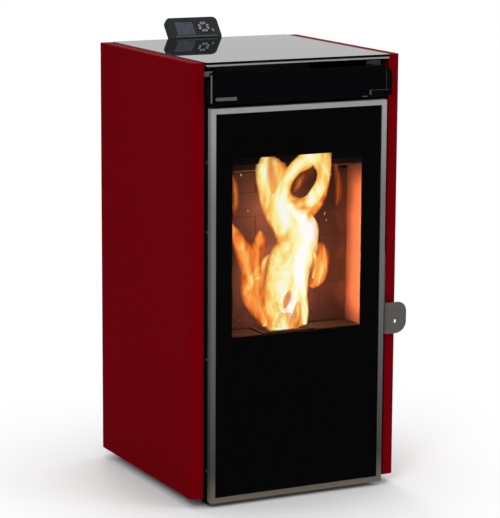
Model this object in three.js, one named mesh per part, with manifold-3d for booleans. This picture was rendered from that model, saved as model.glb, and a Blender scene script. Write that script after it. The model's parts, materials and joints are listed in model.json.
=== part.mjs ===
// Free-standing pellet stove, in millimetres. X runs to the right, Y to the back and Z up.
// Lengths are laid out from the middle of the cabinet's width, the front face of the painted side
// panels and the floor. One group at the end moves the origin to the middle of the footprint.
import * as THREE from 'three';
import { mergeVertices } from 'three/addons/utils/BufferGeometryUtils.js';
import Module from 'manifold-3d';

const wasm = await Module();
wasm.setup();

// ---------------------------------------------------------------- driving dimensions

const GAP = 0.3; // between pieces that touch or pass through each other
const SHEET = 1.5; // cabinet and duct steel
const PLATE = 3; // firebox and bracket steel

const CABINET = { halfWidth: 234.1, depth: 454.9, bottom: 20, top: 900 };
const RETURN = { innerX: 206.7, lipDepth: 37, frontBend: 12, rearBend: 6 };
const FOOT = { x: 165, frontY: 110, rearY: 400, padRadius: 18, padHeight: 8, studRadius: 4 };
const BASE = { halfWidth: 226, tongue: 205, front: 26, shoulder: 38, rear: 450, low: 22, high: 24.5 };

const GLASS_TOP = { halfWidth: 206.2, front: -8, rear: 453.7, low: 898.2, high: 901.2, corner: 5 };
const LID = { halfWidth: 203, front: -4, rear: 450, low: 896.4, hinge: { y: 452, z: 894 } };
const TOP_FRAME = { halfWidth: 204.5, front: -6, rear: 446, low: 894.4, high: 896, lipLow: 892.6 };
const HOPPER = { halfWidth: 150, front: 232, rear: 428, top: 894.1, taper: 590, outlet: 385 };

const DOOR = { halfWidth: 197.5, low: 10.4, high: 810.3, front: -11.4, back: 2.6, face: 10.9 };
const DOOR_GLASS = { front: -8.7, back: -4.7 };
const WINDOW = { left: -150, right: 147, low: 343, high: 711 };
const HINGE = { x: -190, y: 2, pinRadius: 2.5 };
const LATCH = { x: 201.2, y: 5, low: 323.4, high: 499, tabTop: 389, tipX: 250, pinRadius: 1.5 };
const BAR = { halfWidth: 201.5, front: -24.5, back: -9.5, low: 819.8, high: 881 };

const FRONT_PLATE = { front: 26, back: 28, low: BASE.high + GAP, high: 816 };
const FIREBOX = { halfWidth: 162, back: 90, ledge: 340, ceilingFront: 679, ceilingBack: 664.5 };
const CHAMBER = { halfWidth: 183.5, front: 28.4, back: 113.5, low: 186, high: 757 };
const POT = { halfWidth: 61.5, front: 30, back: 89, rimTop: 342.4, bottom: 288 };
const DRAWER = { halfWidth: 115, front: 34, back: 106, low: 189.4, high: 264 };

const AUGER = { foot: [0, 392.5, 247], lean: 30, length: 345, tubeRadius: 25, screwRadius: 20.5 };
const CHUTE_HOLE = { halfWidth: 26, low: 430, high: 482 };
const SMOKE = { x: 115, z: 135, radius: 70, front: 160, back: 205, outletX: 0, outletZ: 148 };
const FLUE = { radius: 40, wall: 1.5, end: 505 };
const INTAKE = { x: -120, z: 225, radius: 25, wall: 1.5, end: 485 };
const ROOM_FAN = { left: -200, right: -62, y: 340, z: 71, wheelRadius: 32, half: 46 };
const SMOKE_DUCT = { left: 78, right: 150, back: 150, low: BASE.high + GAP, high: 745 };
const REAR = { front: 451.8, back: 453.1, halfWidth: 222, low: BASE.high + GAP, high: 890 };
const INLET = { x: -165, z: 80, halfWidth: 16, halfHeight: 34 };
const RESET = { x: 150, z: 400, radius: 5 };

const DISPLAY = { x: -5.5, y: 458, z: 901.4, width: 122, height: 53, depth: 14, lean: 39 };
const KEYPAD = { x: 24, y: 27, radius: 15 };

const FOOTPRINT = { left: -CABINET.halfWidth, right: LATCH.tipX, front: BAR.front, rear: FLUE.end };

// ---------------------------------------------------------------- shape helpers

function toSolid(geometry) {
  const bare = geometry.clone();
  bare.deleteAttribute('normal');
  bare.deleteAttribute('uv');
  const merged = mergeVertices(bare, 1e-4);
  const vertProperties = Float32Array.from(merged.attributes.position.array);
  const triVerts = Uint32Array.from(merged.index.array);
  return new wasm.Manifold(new wasm.Mesh({ numProp: 3, vertProperties, triVerts }));
}

function toGeometry(solid) {
  const mesh = solid.getMesh();
  const geometry = new THREE.BufferGeometry();
  geometry.setAttribute('position', new THREE.BufferAttribute(Float32Array.from(mesh.vertProperties), 3));
  geometry.setIndex(new THREE.BufferAttribute(Uint32Array.from(mesh.triVerts), 1));
  geometry.computeVertexNormals();
  return geometry;
}

function join(...geometries) {
  return toGeometry(geometries.map(toSolid).reduce((sum, solid) => sum.add(solid)));
}

function cut(geometry, ...tools) {
  return toGeometry(tools.map(toSolid).reduce((rest, tool) => rest.subtract(tool), toSolid(geometry)));
}

function slab(x0, x1, y0, y1, z0, z1) {
  const box = new THREE.BoxGeometry(x1 - x0, y1 - y0, z1 - z0);
  return box.translate((x0 + x1) / 2, (y0 + y1) / 2, (z0 + z1) / 2);
}

// A box that is the same on both sides of the cabinet's middle.
function wideSlab(halfWidth, y0, y1, z0, z1) {
  return slab(-halfWidth, halfWidth, y0, y1, z0, z1);
}

function rod(radius, from, to, sides = 24) {
  const start = new THREE.Vector3(...from);
  const run = new THREE.Vector3(...to).sub(start);
  const geometry = new THREE.CylinderGeometry(radius, radius, run.length(), sides);
  const turn = new THREE.Quaternion().setFromUnitVectors(
    new THREE.Vector3(0, 1, 0),
    run.clone().normalize(),
  );
  geometry.applyQuaternion(turn);
  return geometry.translate(...start.addScaledVector(run, 0.5).toArray());
}

function toShape(points) {
  return new THREE.Shape(points.map(([a, b]) => new THREE.Vector2(a, b)));
}

function extrude(shape, depth) {
  return new THREE.ExtrudeGeometry(shape, { depth, bevelEnabled: false, curveSegments: 5 });
}

// Outline in (x, y), standing from z0 to z1.
function prismZ(shape, z0, z1) {
  return extrude(shape, z1 - z0).translate(0, 0, z0);
}

// Outline in (x, z), running from y0 to y1.
function prismY(shape, y0, y1) {
  return extrude(shape, y1 - y0).rotateX(Math.PI / 2).translate(0, y1, 0);
}

// Outline in (y, z), running from x0 to x1.
function prismX(shape, x0, x1) {
  const basis = new THREE.Matrix4().makeBasis(
    new THREE.Vector3(0, 1, 0),
    new THREE.Vector3(0, 0, 1),
    new THREE.Vector3(1, 0, 0),
  );
  return extrude(shape, x1 - x0).applyMatrix4(basis).translate(x0, 0, 0);
}

function rectangle(x0, x1, y0, y1) {
  return toShape([[x0, y0], [x1, y0], [x1, y1], [x0, y1]]);
}

function roundedRectangle(x0, x1, y0, y1, low, high = low) {
  const shape = new THREE.Shape();
  shape.moveTo(x0 + low, y0);
  shape.lineTo(x1 - low, y0);
  shape.absarc(x1 - low, y0 + low, low, -Math.PI / 2, 0);
  shape.absarc(x1 - high, y1 - high, high, 0, Math.PI / 2);
  shape.absarc(x0 + high, y1 - high, high, Math.PI / 2, Math.PI);
  shape.absarc(x0 + low, y0 + low, low, Math.PI, Math.PI * 1.5);
  return shape;
}

function frameShape(outer, inner) {
  outer.holes.push(inner);
  return outer;
}

// Outline of a sheet that is bent along a path. Each inner path point is [a, b, bendRadius], the
// radius of the face that the path follows, and the metal lies on the path's left.
function bentSheet(path, thickness, steps = 4) {
  const face = [];
  const far = [];
  const add = (x, y, nx, ny) => {
    face.push([x, y]);
    far.unshift([x + nx * thickness, y + ny * thickness]);
  };
  for (let i = 0; i < path.length; i += 1) {
    const [x, y, radius = 0] = path[i];
    const before = path[i - 1] ?? path[i];
    const after = path[i + 1] ?? path[i];
    const angleIn = Math.atan2(y - before[1], x - before[0]);
    const angleOut = Math.atan2(after[1] - y, after[0] - x);
    if (i === 0 || i === path.length - 1) {
      const angle = i === 0 ? angleOut : angleIn;
      add(x, y, -Math.sin(angle), Math.cos(angle));
      continue;
    }
    const turn = Math.atan2(Math.sin(angleOut - angleIn), Math.cos(angleOut - angleIn));
    const side = Math.sign(turn);
    const setback = radius * Math.tan(Math.abs(turn) / 2);
    const centreX = x - setback * Math.cos(angleIn) - side * radius * Math.sin(angleIn);
    const centreY = y - setback * Math.sin(angleIn) + side * radius * Math.cos(angleIn);
    for (let k = 0; k <= steps; k += 1) {
      const angle = angleIn + (turn * k) / steps;
      const nx = -Math.sin(angle);
      const ny = Math.cos(angle);
      add(centreX - side * radius * nx, centreY - side * radius * ny, nx, ny);
    }
  }
  return toShape([...face, ...far]);
}

// The outline of a convex polygon, drawn in by a wall's thickness.
function inset(points, wall) {
  const count = points.length;
  const edges = points.map(([x, y], i) => {
    const [nextX, nextY] = points[(i + 1) % count];
    const length = Math.hypot(nextX - x, nextY - y);
    const nx = (nextY - y) / length;
    const ny = (x - nextX) / length;
    return { nx, ny, reach: nx * (x + nx * wall) + ny * (y + ny * wall) };
  });
  return edges.map((edge, i) => {
    const last = edges[(i + count - 1) % count];
    const det = last.nx * edge.ny - last.ny * edge.nx;
    const x = (last.reach * edge.ny - edge.reach * last.ny) / det;
    const y = (last.nx * edge.reach - edge.nx * last.reach) / det;
    return [x, y];
  });
}

// A four-sided funnel through level rectangles [x0, x1, y0, y1, z], from the lowest up.
function funnel(levels) {
  const corners = levels.flatMap(([x0, x1, y0, y1, z]) => [
    [x0, y0, z], [x1, y0, z], [x1, y1, z], [x0, y1, z],
  ]);
  const faces = [[0, 2, 1], [0, 3, 2]];
  for (let level = 0; level < levels.length - 1; level += 1) {
    for (let side = 0; side < 4; side += 1) {
      const a = level * 4 + side;
      const b = level * 4 + ((side + 1) % 4);
      faces.push([a, b, b + 4], [a, b + 4, a + 4]);
    }
  }
  const top = (levels.length - 1) * 4;
  faces.push([top, top + 1, top + 2], [top, top + 2, top + 3]);
  const geometry = new THREE.BufferGeometry();
  geometry.setAttribute('position', new THREE.Float32BufferAttribute(corners.flat(), 3));
  geometry.setIndex(faces.flat());
  geometry.computeVertexNormals();
  return geometry;
}

// ---------------------------------------------------------------- materials

function finish(color, roughness, metalness) {
  return new THREE.MeshStandardMaterial({ color, roughness, metalness });
}

const redPaint = finish(0x61000b, 0.35, 0.1);
const blackPaint = finish(0x151515, 0.55, 0.2);
const blackGlass = finish(0x0a080a, 0.05, 0);
const silverPaint = finish(0x8c8b88, 0.4, 0.6);
const zincSheet = finish(0x9a9c9e, 0.45, 0.9);
const stainless = finish(0x6b6762, 0.4, 0.9);
const fireSteel = finish(0x3a2f2b, 0.7, 0.6);
const castIron = finish(0x2a2524, 0.8, 0.5);
const fireBrick = finish(0x5c3836, 0.95, 0);
const ropeSeal = finish(0x4a4a48, 1, 0);
const blackPlastic = finish(0x22262a, 0.5, 0);
const screenPlastic = finish(0x424b50, 0.2, 0);
const boardGreen = finish(0x1f4a2c, 0.6, 0);
const blackRubber = finish(0x181818, 0.9, 0);

const stove = new THREE.Group();

function part(name, geometry, material, parent = stove) {
  const mesh = new THREE.Mesh(geometry, material);
  mesh.name = name;
  parent.add(mesh);
  return mesh;
}

// ---------------------------------------------------------------- base and feet

const footPlaces = {
  foot_front_left: [-FOOT.x, FOOT.frontY],
  foot_front_right: [FOOT.x, FOOT.frontY],
  foot_rear_left: [-FOOT.x, FOOT.rearY],
  foot_rear_right: [FOOT.x, FOOT.rearY],
};

function makeBase() {
  const holes = Object.values(footPlaces).map(([x, y]) =>
    rod(FOOT.studRadius + GAP, [x, y, BASE.low - 1], [x, y, BASE.high + 1], 12));
  const sheet = wideSlab(BASE.halfWidth, BASE.shoulder, BASE.rear, BASE.low, BASE.high);
  const tongue = wideSlab(BASE.tongue, BASE.front, BASE.shoulder + 1, BASE.low, BASE.high);
  part('base_plate', cut(join(sheet, tongue), ...holes), blackPaint);
}

// A rubber pad on a stud, with its lock nut under the base plate.
function makeFoot(name, x, y) {
  const nutLow = BASE.low - GAP - 6;
  const profile = [
    [0, 0], [FOOT.padRadius - 1, 0], [FOOT.padRadius, 1], [FOOT.padRadius - 2, FOOT.padHeight],
    [FOOT.studRadius, FOOT.padHeight + 1], [FOOT.studRadius, nutLow], [8, nutLow],
    [8, BASE.low - GAP], [FOOT.studRadius, BASE.low - GAP], [FOOT.studRadius, BASE.high + 14],
    [0, BASE.high + 14],
  ].map(([r, z]) => new THREE.Vector2(r, z));
  const geometry = new THREE.LatheGeometry(profile, 12).rotateX(Math.PI / 2);
  part(name, geometry, blackRubber).position.set(x, y, 0);
}

// ---------------------------------------------------------------- cabinet

// One painted sheet wraps each side: lip, front return, side, rear return, and a rim on top.
function makeSidePanel(name, side) {
  const { halfWidth, depth, bottom, top } = CABINET;
  const path = [
    [side * RETURN.innerX, RETURN.lipDepth],
    [side * RETURN.innerX, 0, 2],
    [side * halfWidth, 0, RETURN.frontBend],
    [side * halfWidth, depth, RETURN.rearBend],
    [side * RETURN.innerX, depth],
  ];
  const ordered = side > 0 ? path : path.reverse();
  const wrap = prismZ(bentSheet(ordered, SHEET), bottom, top);
  const rimInner = side * (GLASS_TOP.halfWidth + 0.8);
  const rimOuter = side * (halfWidth - 0.5);
  const bend = RETURN.frontBend;
  const rimOutline = [
    [rimInner, 0.5], [rimOuter - side * bend, 0.5], [rimOuter - side * bend * 0.3, bend * 0.3 + 0.5],
    [rimOuter, bend], [rimOuter, depth - bend], [rimOuter - side * bend * 0.3, depth - 4.1],
    [rimOuter - side * bend, depth - 0.5], [rimInner, depth - 0.5],
  ];
  const rim = prismZ(toShape(rimOutline), top - SHEET, top);
  const glassEdge = side * (GLASS_TOP.halfWidth + 0.5);
  const lowX = Math.min(side * 200, glassEdge);
  const highX = Math.max(side * 200, glassEdge);
  const glassNotch = slab(lowX, highX, -2, RETURN.lipDepth + 2, GLASS_TOP.low - 0.6, top + 1);
  part(name, cut(join(wrap, rim), glassNotch), redPaint);
}

function makeRearPanel() {
  const { front, back } = REAR;
  const sheet = wideSlab(REAR.halfWidth, front, back, REAR.low, REAR.high);
  const through = (radius, x, z) => rod(radius, [x, front - 1, z], [x, back + 1, z], 20);
  const slots = [];
  for (let row = 0; row < 7; row += 1) {
    const z = 33 + row * 13;
    slots.push(slab(ROOM_FAN.left + 68, ROOM_FAN.right - 4, front - 1, back + 1, z, z + 6));
  }
  const inletHole = slab(
    INLET.x - INLET.halfWidth, INLET.x + INLET.halfWidth, front - 1, back + 1,
    INLET.z - INLET.halfHeight, INLET.z + INLET.halfHeight,
  );
  const well = rod(RESET.radius + 6, [RESET.x, 434, RESET.z], [RESET.x, back, RESET.z], 20);
  const wellInside = rod(RESET.radius + 3.6, [RESET.x, 436, RESET.z], [RESET.x, front, RESET.z], 20);
  const panel = cut(
    cut(join(sheet, well), wellInside),
    through(FLUE.radius + 2, SMOKE.outletX, SMOKE.outletZ),
    through(INTAKE.radius + 2, INTAKE.x, INTAKE.z),
    through(RESET.radius + GAP, RESET.x, RESET.z),
    inletHole,
    ...slots,
  );
  part('rear_panel', panel, blackPaint);
}

// A folded ring under the lid, with the bright front lip that shows below the glass.
function makeTopFrame() {
  const { halfWidth, front, rear, low, high, lipLow } = TOP_FRAME;
  const ring = frameShape(
    rectangle(-halfWidth, halfWidth, front, rear),
    rectangle(-HOPPER.halfWidth + 4, HOPPER.halfWidth - 4, HOPPER.front + 4, HOPPER.rear - 4),
  );
  const lip = wideSlab(halfWidth, front, front + SHEET, lipLow, high);
  part('top_frame', join(prismZ(ring, low, high), lip), silverPaint);
}

// Gloss-black deflector over the door. Its ends are cut off at a slant, and two arms behind it
// reach back to the warm-air duct.
function makeOutletBar() {
  const { halfWidth, front, back, low, high } = BAR;
  const outline = toShape([
    [-halfWidth + 4, low], [halfWidth - 4, low], [halfWidth, low + 8], [halfWidth, high - 8],
    [halfWidth - 14, high], [-halfWidth + 14, high], [-halfWidth, high - 8], [-halfWidth, low + 8],
  ]);
  const face = prismY(outline, front, front + 3);
  const lowerFlange = wideSlab(halfWidth - 15, front + 1, back, low, low + 2);
  const upperFlange = wideSlab(halfWidth - 15, front + 1, back, high - 2, high);
  const arms = [-1, 1].map((side) => {
    const middle = side * 179.6;
    return slab(middle - 8.6, middle + 8.6, front + 1, 60, high - 19, high - 1);
  });
  part('outlet_bar', join(face, lowerFlange, upperFlange, ...arms), blackGlass);
}

function makeAirOutletDuct() {
  const low = CHAMBER.high + 1;
  const high = 890;
  const halfWidth = 190;
  const channel = toShape([
    [-halfWidth, low], [-halfWidth + SHEET, low], [-halfWidth + SHEET, high - SHEET],
    [halfWidth - SHEET, high - SHEET], [halfWidth - SHEET, low], [halfWidth, low],
    [halfWidth, high], [-halfWidth, high],
  ]);
  part('air_outlet_duct', prismY(channel, FRONT_PLATE.back + 0.5, 150), blackPaint);
}

// ---------------------------------------------------------------- fire side

function makeFrontPlate() {
  const outline = rectangle(-196, 196, FRONT_PLATE.low, FRONT_PLATE.high);
  outline.holes.push(rectangle(-FIREBOX.halfWidth, FIREBOX.halfWidth, FIREBOX.ledge - 3, 690));
  const drawerHalf = DRAWER.halfWidth + 5;
  outline.holes.push(rectangle(-drawerHalf, drawerHalf, DRAWER.low - 3, DRAWER.high + 8));
  part('front_plate', prismY(outline, FRONT_PLATE.front, FRONT_PLATE.back), blackPaint);
}

function makeChamber() {
  const { halfWidth, front, back, low, high } = CHAMBER;
  const box = wideSlab(halfWidth, front, back, low, high);
  const floor = BASE.high + GAP;
  const legs = [-1, 1].map((side) => {
    const middle = side * (halfWidth - PLATE / 2);
    return slab(middle - PLATE / 2, middle + PLATE / 2, front, back, floor, low + 1);
  });
  const shell = join(box, ...legs);
  const inside = wideSlab(halfWidth - PLATE, front - 1, back - PLATE, low + PLATE, high - PLATE);
  const chuteHole = wideSlab(CHUTE_HOLE.halfWidth, back - 5, back + 1, CHUTE_HOLE.low, CHUTE_HOLE.high);
  const smokeHole = slab(SMOKE_DUCT.left + 4, SMOKE_DUCT.right - 4, back - 5, back + 1, 690, 738);
  const airHole = rod(
    INTAKE.radius - 3, [INTAKE.x, back - 5, INTAKE.z], [INTAKE.x, back + 1, INTAKE.z], 16,
  );
  const igniterHole = rod(7.5, [0, back - 5, 305], [0, back + 1, 305], 12);
  part('combustion_chamber', cut(shell, inside, chuteHole, smokeHole, airHole, igniterHole), fireSteel);
}

function makeRefractories() {
  const inner = CHAMBER.halfWidth - PLATE - GAP;
  const backLow = FIREBOX.ledge + 0.6;
  const chamberBack = CHAMBER.back - PLATE - GAP;
  const slope = (FIREBOX.ceilingFront - FIREBOX.ceilingBack) / (FIREBOX.back - 29);
  const front = 29;
  const underside = (y) => FIREBOX.ceilingFront - slope * (y - front);
  const backPanel = wideSlab(inner, FIREBOX.back, chamberBack, backLow, underside(chamberBack) - GAP);
  const chuteHole = wideSlab(
    CHUTE_HOLE.halfWidth, FIREBOX.back - 1, chamberBack + 1, CHUTE_HOLE.low, CHUTE_HOLE.high,
  );
  part('refractory_back', cut(backPanel, chuteHole), fireBrick);

  const rear = FIREBOX.back - GAP;
  const side = toShape([
    [front, backLow], [rear, backLow],
    [rear, underside(rear) - 2 * GAP], [front, underside(front) - 2 * GAP],
  ]);
  part('refractory_left', prismX(side, -inner, -FIREBOX.halfWidth), fireBrick);
  part('refractory_right', prismX(side, FIREBOX.halfWidth, inner), fireBrick);

  const baffleRear = chamberBack - 2;
  const baffle = toShape([
    [front + 12, underside(front + 12)], [baffleRear, underside(baffleRear)],
    [baffleRear, underside(baffleRear) + 12], [front + 12, underside(front + 12) + 12],
  ]);
  part('flame_baffle', prismX(baffle, -inner, inner), fireBrick);
}

function makePotAndSupport() {
  const inner = CHAMBER.halfWidth - PLATE - GAP;
  const ledge = wideSlab(inner, 29, CHAMBER.back - PLATE - GAP, FIREBOX.ledge - PLATE, FIREBOX.ledge);
  const opening = wideSlab(
    POT.halfWidth - 4, POT.front + 4, POT.back - 4, FIREBOX.ledge - 5, FIREBOX.ledge + 1,
  );
  part('pot_support', cut(ledge, opening), castIron);

  const wall = 2.5;
  const rimLow = FIREBOX.ledge + GAP;
  const rim = wideSlab(POT.halfWidth, POT.front, POT.back, rimLow, POT.rimTop);
  const bowl = (shrink, z0, z1) => funnel([
    [-44 + shrink, 44 - shrink, 42 + shrink, 78 - shrink, z0],
    [-56 + shrink, 56 - shrink, 35 + shrink, 84 - shrink, z1],
  ]);
  const airHoles = [];
  for (const x of [-30, -10, 10, 30]) {
    for (const y of [51, 60, 69]) {
      airHoles.push(rod(2.5, [x, y, POT.bottom - 1], [x, y, POT.bottom + wall + 1], 6));
    }
  }
  const igniterHole = rod(7, [0, 70, 305], [0, 90, 305], 10);
  const body = join(rim, bowl(0, POT.bottom, rimLow + 1));
  const hollow = bowl(wall, POT.bottom + wall, POT.rimTop + 1);
  part('burn_pot', cut(body, hollow, igniterHole, ...airHoles), castIron);
}

function makeAshDrawer() {
  const { halfWidth, front, back, low, high } = DRAWER;
  const tray = wideSlab(halfWidth, front, back, low, high);
  const inside = wideSlab(halfWidth - SHEET, front + SHEET, back - SHEET, low + SHEET, high + 1);
  const grip = wideSlab(30, front - 7, front + 1, high - 14, high - 11);
  part('ash_drawer', join(cut(tray, inside), grip), stainless);
}

// Fins that carry the fire's heat from the chamber's roof into the room air.
function makeHeatExchanger() {
  const floor = CHAMBER.high + GAP;
  const pieces = [wideSlab(172, 36, 108, floor, floor + 3)];
  for (let x = -160; x <= 160; x += 40) {
    pieces.push(slab(x - 1.5, x + 1.5, 36, 108, floor + 2, floor + 46));
  }
  part('heat_exchanger', join(...pieces), fireSteel);
}

function makeIgniter() {
  const tip = 86;
  const profile = [
    [0, tip], [5, tip + 1], [5, CHAMBER.back + GAP], [14, CHAMBER.back + GAP], [14, CHAMBER.back + 4],
    [6, CHAMBER.back + 4], [6, 172], [0, 172],
  ].map(([r, y]) => new THREE.Vector2(r, y));
  part('igniter', new THREE.LatheGeometry(profile, 12), stainless).position.set(0, 0, 305);
}

// ---------------------------------------------------------------- pellet feed

const lean = THREE.MathUtils.degToRad(AUGER.lean);
const augerAxis = new THREE.Vector3(0, -Math.sin(lean), Math.cos(lean));
const augerUpper = new THREE.Vector3(0, Math.cos(lean), Math.sin(lean));

// A point so far along the auger's axis, and so far towards its upper side.
function onAuger(along, above = 0) {
  const point = new THREE.Vector3(...AUGER.foot);
  return point.addScaledVector(augerAxis, along).addScaledVector(augerUpper, above).toArray();
}

function makeHopper() {
  const shape = (shrink, top, bottom) => funnel([
    [-20 + shrink, 20 - shrink, 352 + shrink, 380 - shrink, bottom],
    [-20 + shrink, 20 - shrink, 352 + shrink, 380 - shrink, HOPPER.outlet],
    [-HOPPER.halfWidth + shrink, HOPPER.halfWidth - shrink, HOPPER.front + shrink,
      HOPPER.rear - shrink, HOPPER.taper],
    [-HOPPER.halfWidth + shrink, HOPPER.halfWidth - shrink, HOPPER.front + shrink,
      HOPPER.rear - shrink, top],
  ]);
  const rim = wideSlab(
    HOPPER.halfWidth + 8, HOPPER.front - 8, HOPPER.rear + 8, HOPPER.top - SHEET, HOPPER.top,
  );
  const body = join(shape(0, HOPPER.top, 300), rim);
  const hollow = shape(SHEET, HOPPER.top + 1, 299);
  const tubeSpace = rod(AUGER.tubeRadius + 0.6, onAuger(-30), onAuger(220), 24);
  part('hopper', cut(body, hollow, tubeSpace), zincSheet);
}

function makeAuger() {
  const { length, tubeRadius, screwRadius } = AUGER;
  const tube = rod(tubeRadius, onAuger(0), onAuger(length), 24);
  const bore = rod(tubeRadius - 2.2, onAuger(4), onAuger(length + 1), 24);
  const shaftHole = rod(7, onAuger(-1), onAuger(5), 12);
  const inlet = wideSlab(17, 354, 378, 290, 380);
  const upperHalf = rod(tubeRadius + 4, onAuger(2, 32), onAuger(100, 32), 24);
  const inletCut = toGeometry(toSolid(inlet).intersect(toSolid(upperHalf)));
  part('auger_tube', cut(tube, bore, shaftHole, inletCut), zincSheet);

  const pitch = 42;
  const turns = 7.5;
  const stepsPerTurn = 8;
  const steps = turns * stepsPerTurn;
  const flight = new THREE.BufferGeometry();
  const points = [];
  const faces = [];
  for (let i = 0; i <= steps; i += 1) {
    const angle = (i / stepsPerTurn) * Math.PI * 2;
    const along = 14 + (pitch * i) / stepsPerTurn;
    for (const [radius, rise] of [[4, -1], [screwRadius, -1], [screwRadius, 1], [4, 1]]) {
      points.push(radius * Math.cos(angle), along + rise, -radius * Math.sin(angle));
    }
  }
  for (let i = 0; i < steps; i += 1) {
    for (let k = 0; k < 4; k += 1) {
      const a = i * 4 + k;
      const b = i * 4 + ((k + 1) % 4);
      faces.push(a, b + 4, b, a, a + 4, b + 4);
    }
  }
  const last = steps * 4;
  faces.push(0, 1, 2, 0, 2, 3, last, last + 2, last + 1, last, last + 3, last + 2);
  flight.setAttribute('position', new THREE.Float32BufferAttribute(points, 3));
  flight.setIndex(faces);
  flight.computeVertexNormals();
  const shaft = rod(6, [0, -6, 0], [0, length - 6, 0], 12);
  const screw = join(shaft, flight);
  screw.applyQuaternion(new THREE.Quaternion().setFromUnitVectors(new THREE.Vector3(0, 1, 0), augerAxis));
  part('auger_screw', screw.translate(...AUGER.foot), stainless);

  const gearCase = rod(24, onAuger(-30), onAuger(-GAP), 20);
  const coil = rod(20, onAuger(-50), onAuger(-29), 16);
  const shaftBore = rod(6.4, onAuger(-8), onAuger(1), 12);
  part('auger_motor', cut(join(gearCase, coil), shaftBore), blackPaint);
}

function makeChute() {
  const clear = AUGER.tubeRadius + 2.5;
  const near = (along, above) => onAuger(along, above).slice(1);
  const topCorner = near(AUGER.length + 35, clear);
  const outline = [
    near(AUGER.length - 40, -clear), near(AUGER.length - 40, clear), topCorner,
    [170, topCorner[1]], [CHAMBER.back + GAP, 486], [CHAMBER.back + GAP, 428],
  ];
  const wall = SHEET;
  const hollow = inset(outline, -wall);
  const mouth = slab(-28 + wall, 28 - wall, CHAMBER.back - 3, CHAMBER.back + 4, 430, 482);
  const tubeHole = rod(AUGER.tubeRadius + 0.4, onAuger(AUGER.length - 60), onAuger(AUGER.length + 1), 24);
  const box = cut(prismX(toShape(outline), -28, 28), prismX(toShape(hollow), -28 + wall, 28 - wall));
  part('pellet_chute', cut(box, mouth, tubeHole), zincSheet);
}

// ---------------------------------------------------------------- smoke side

function makeSmokePath() {
  const { x, z, radius, front, back, outletX, outletZ } = SMOKE;
  const duct = slab(
    SMOKE_DUCT.left, SMOKE_DUCT.right, CHAMBER.back + GAP, SMOKE_DUCT.back,
    SMOKE_DUCT.low, SMOKE_DUCT.high,
  );
  const ductInside = slab(
    SMOKE_DUCT.left + SHEET, SMOKE_DUCT.right - SHEET, CHAMBER.back + GAP + SHEET,
    SMOKE_DUCT.back - SHEET, SMOKE_DUCT.low + SHEET, SMOKE_DUCT.high - SHEET,
  );
  const ductTop = slab(
    SMOKE_DUCT.left + 4, SMOKE_DUCT.right - 4, CHAMBER.back - 1, CHAMBER.back + 4, 690, 738,
  );
  const ductFoot = rod(30, [x, SMOKE_DUCT.back - 5, z], [x, SMOKE_DUCT.back + 1, z], 20);
  part('smoke_duct', cut(duct, ductInside, ductTop, ductFoot), fireSteel);

  const half = FLUE.radius + 3;
  const drum = rod(radius, [x, front, z], [x, back, z], 32);
  const throat = slab(outletX - half, x, front, back, outletZ - half, outletZ + half);
  const drumInside = rod(radius - SHEET, [x, front + SHEET, z], [x, back - SHEET, z], 32);
  const throatInside = slab(
    outletX - half + SHEET, x, front + SHEET, back - SHEET,
    outletZ - half + SHEET, outletZ + half - SHEET,
  );
  const collar = rod(30, [x, SMOKE_DUCT.back + GAP, z], [x, front + 1, z], 20);
  const stand = slab(x - 15, x + 15, front + 5, back - 5, BASE.high + GAP, z - radius + 8);
  const inlet = rod(28, [x, SMOKE_DUCT.back - 1, z], [x, front + 4, z], 20);
  const bore = FLUE.radius - FLUE.wall;
  const outlet = rod(bore, [outletX, back - 4, outletZ], [outletX, back + 1, outletZ], 24);
  const shaftHole = rod(6, [x, back - 4, z], [x, back + 1, z], 12);
  const housing = cut(
    join(drum, throat, collar, stand), drumInside, throatInside, inlet, outlet, shaftHole,
  );
  part('smoke_fan_housing', housing, zincSheet);

  const blades = [];
  for (let i = 0; i < 10; i += 1) {
    const blade = slab(16, 58, 172, 196, -1, 1);
    blades.push(blade.rotateY((i / 10) * Math.PI * 2));
  }
  const hub = rod(58, [0, 194, 0], [0, 197, 0], 24);
  const boss = rod(12, [0, 176, 0], [0, 195, 0], 12);
  const shaft = rod(4, [0, 190, 0], [0, 216, 0], 12);
  part('smoke_fan_wheel', join(hub, boss, shaft, ...blades), stainless).position.set(x, 0, z);

  const motor = rod(34, [x, 212, z], [x, 268, z], 20);
  const stool = rod(20, [x, back + GAP, z], [x, 213, z], 16);
  const motorBore = rod(5, [x, back - 1, z], [x, 220, z], 12);
  part('smoke_fan_motor', cut(join(motor, stool), motorBore), blackPaint);

  const pipe = rod(FLUE.radius, [outletX, back + GAP, outletZ], [outletX, FLUE.end, outletZ], 32);
  const pipeBore = rod(bore, [outletX, back - 1, outletZ], [outletX, FLUE.end + 1, outletZ], 32);
  part('flue_collar', cut(pipe, pipeBore), zincSheet);

  const inletFront = CHAMBER.back + GAP;
  const onIntake = (y) => [INTAKE.x, y, INTAKE.z];
  const intake = rod(INTAKE.radius, onIntake(inletFront), onIntake(INTAKE.end), 24);
  const intakeBore = rod(
    INTAKE.radius - INTAKE.wall, onIntake(inletFront - 1), onIntake(INTAKE.end + 1), 24,
  );
  part('air_intake_pipe', cut(intake, intakeBore), zincSheet);
}

// ---------------------------------------------------------------- room air side

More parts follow.
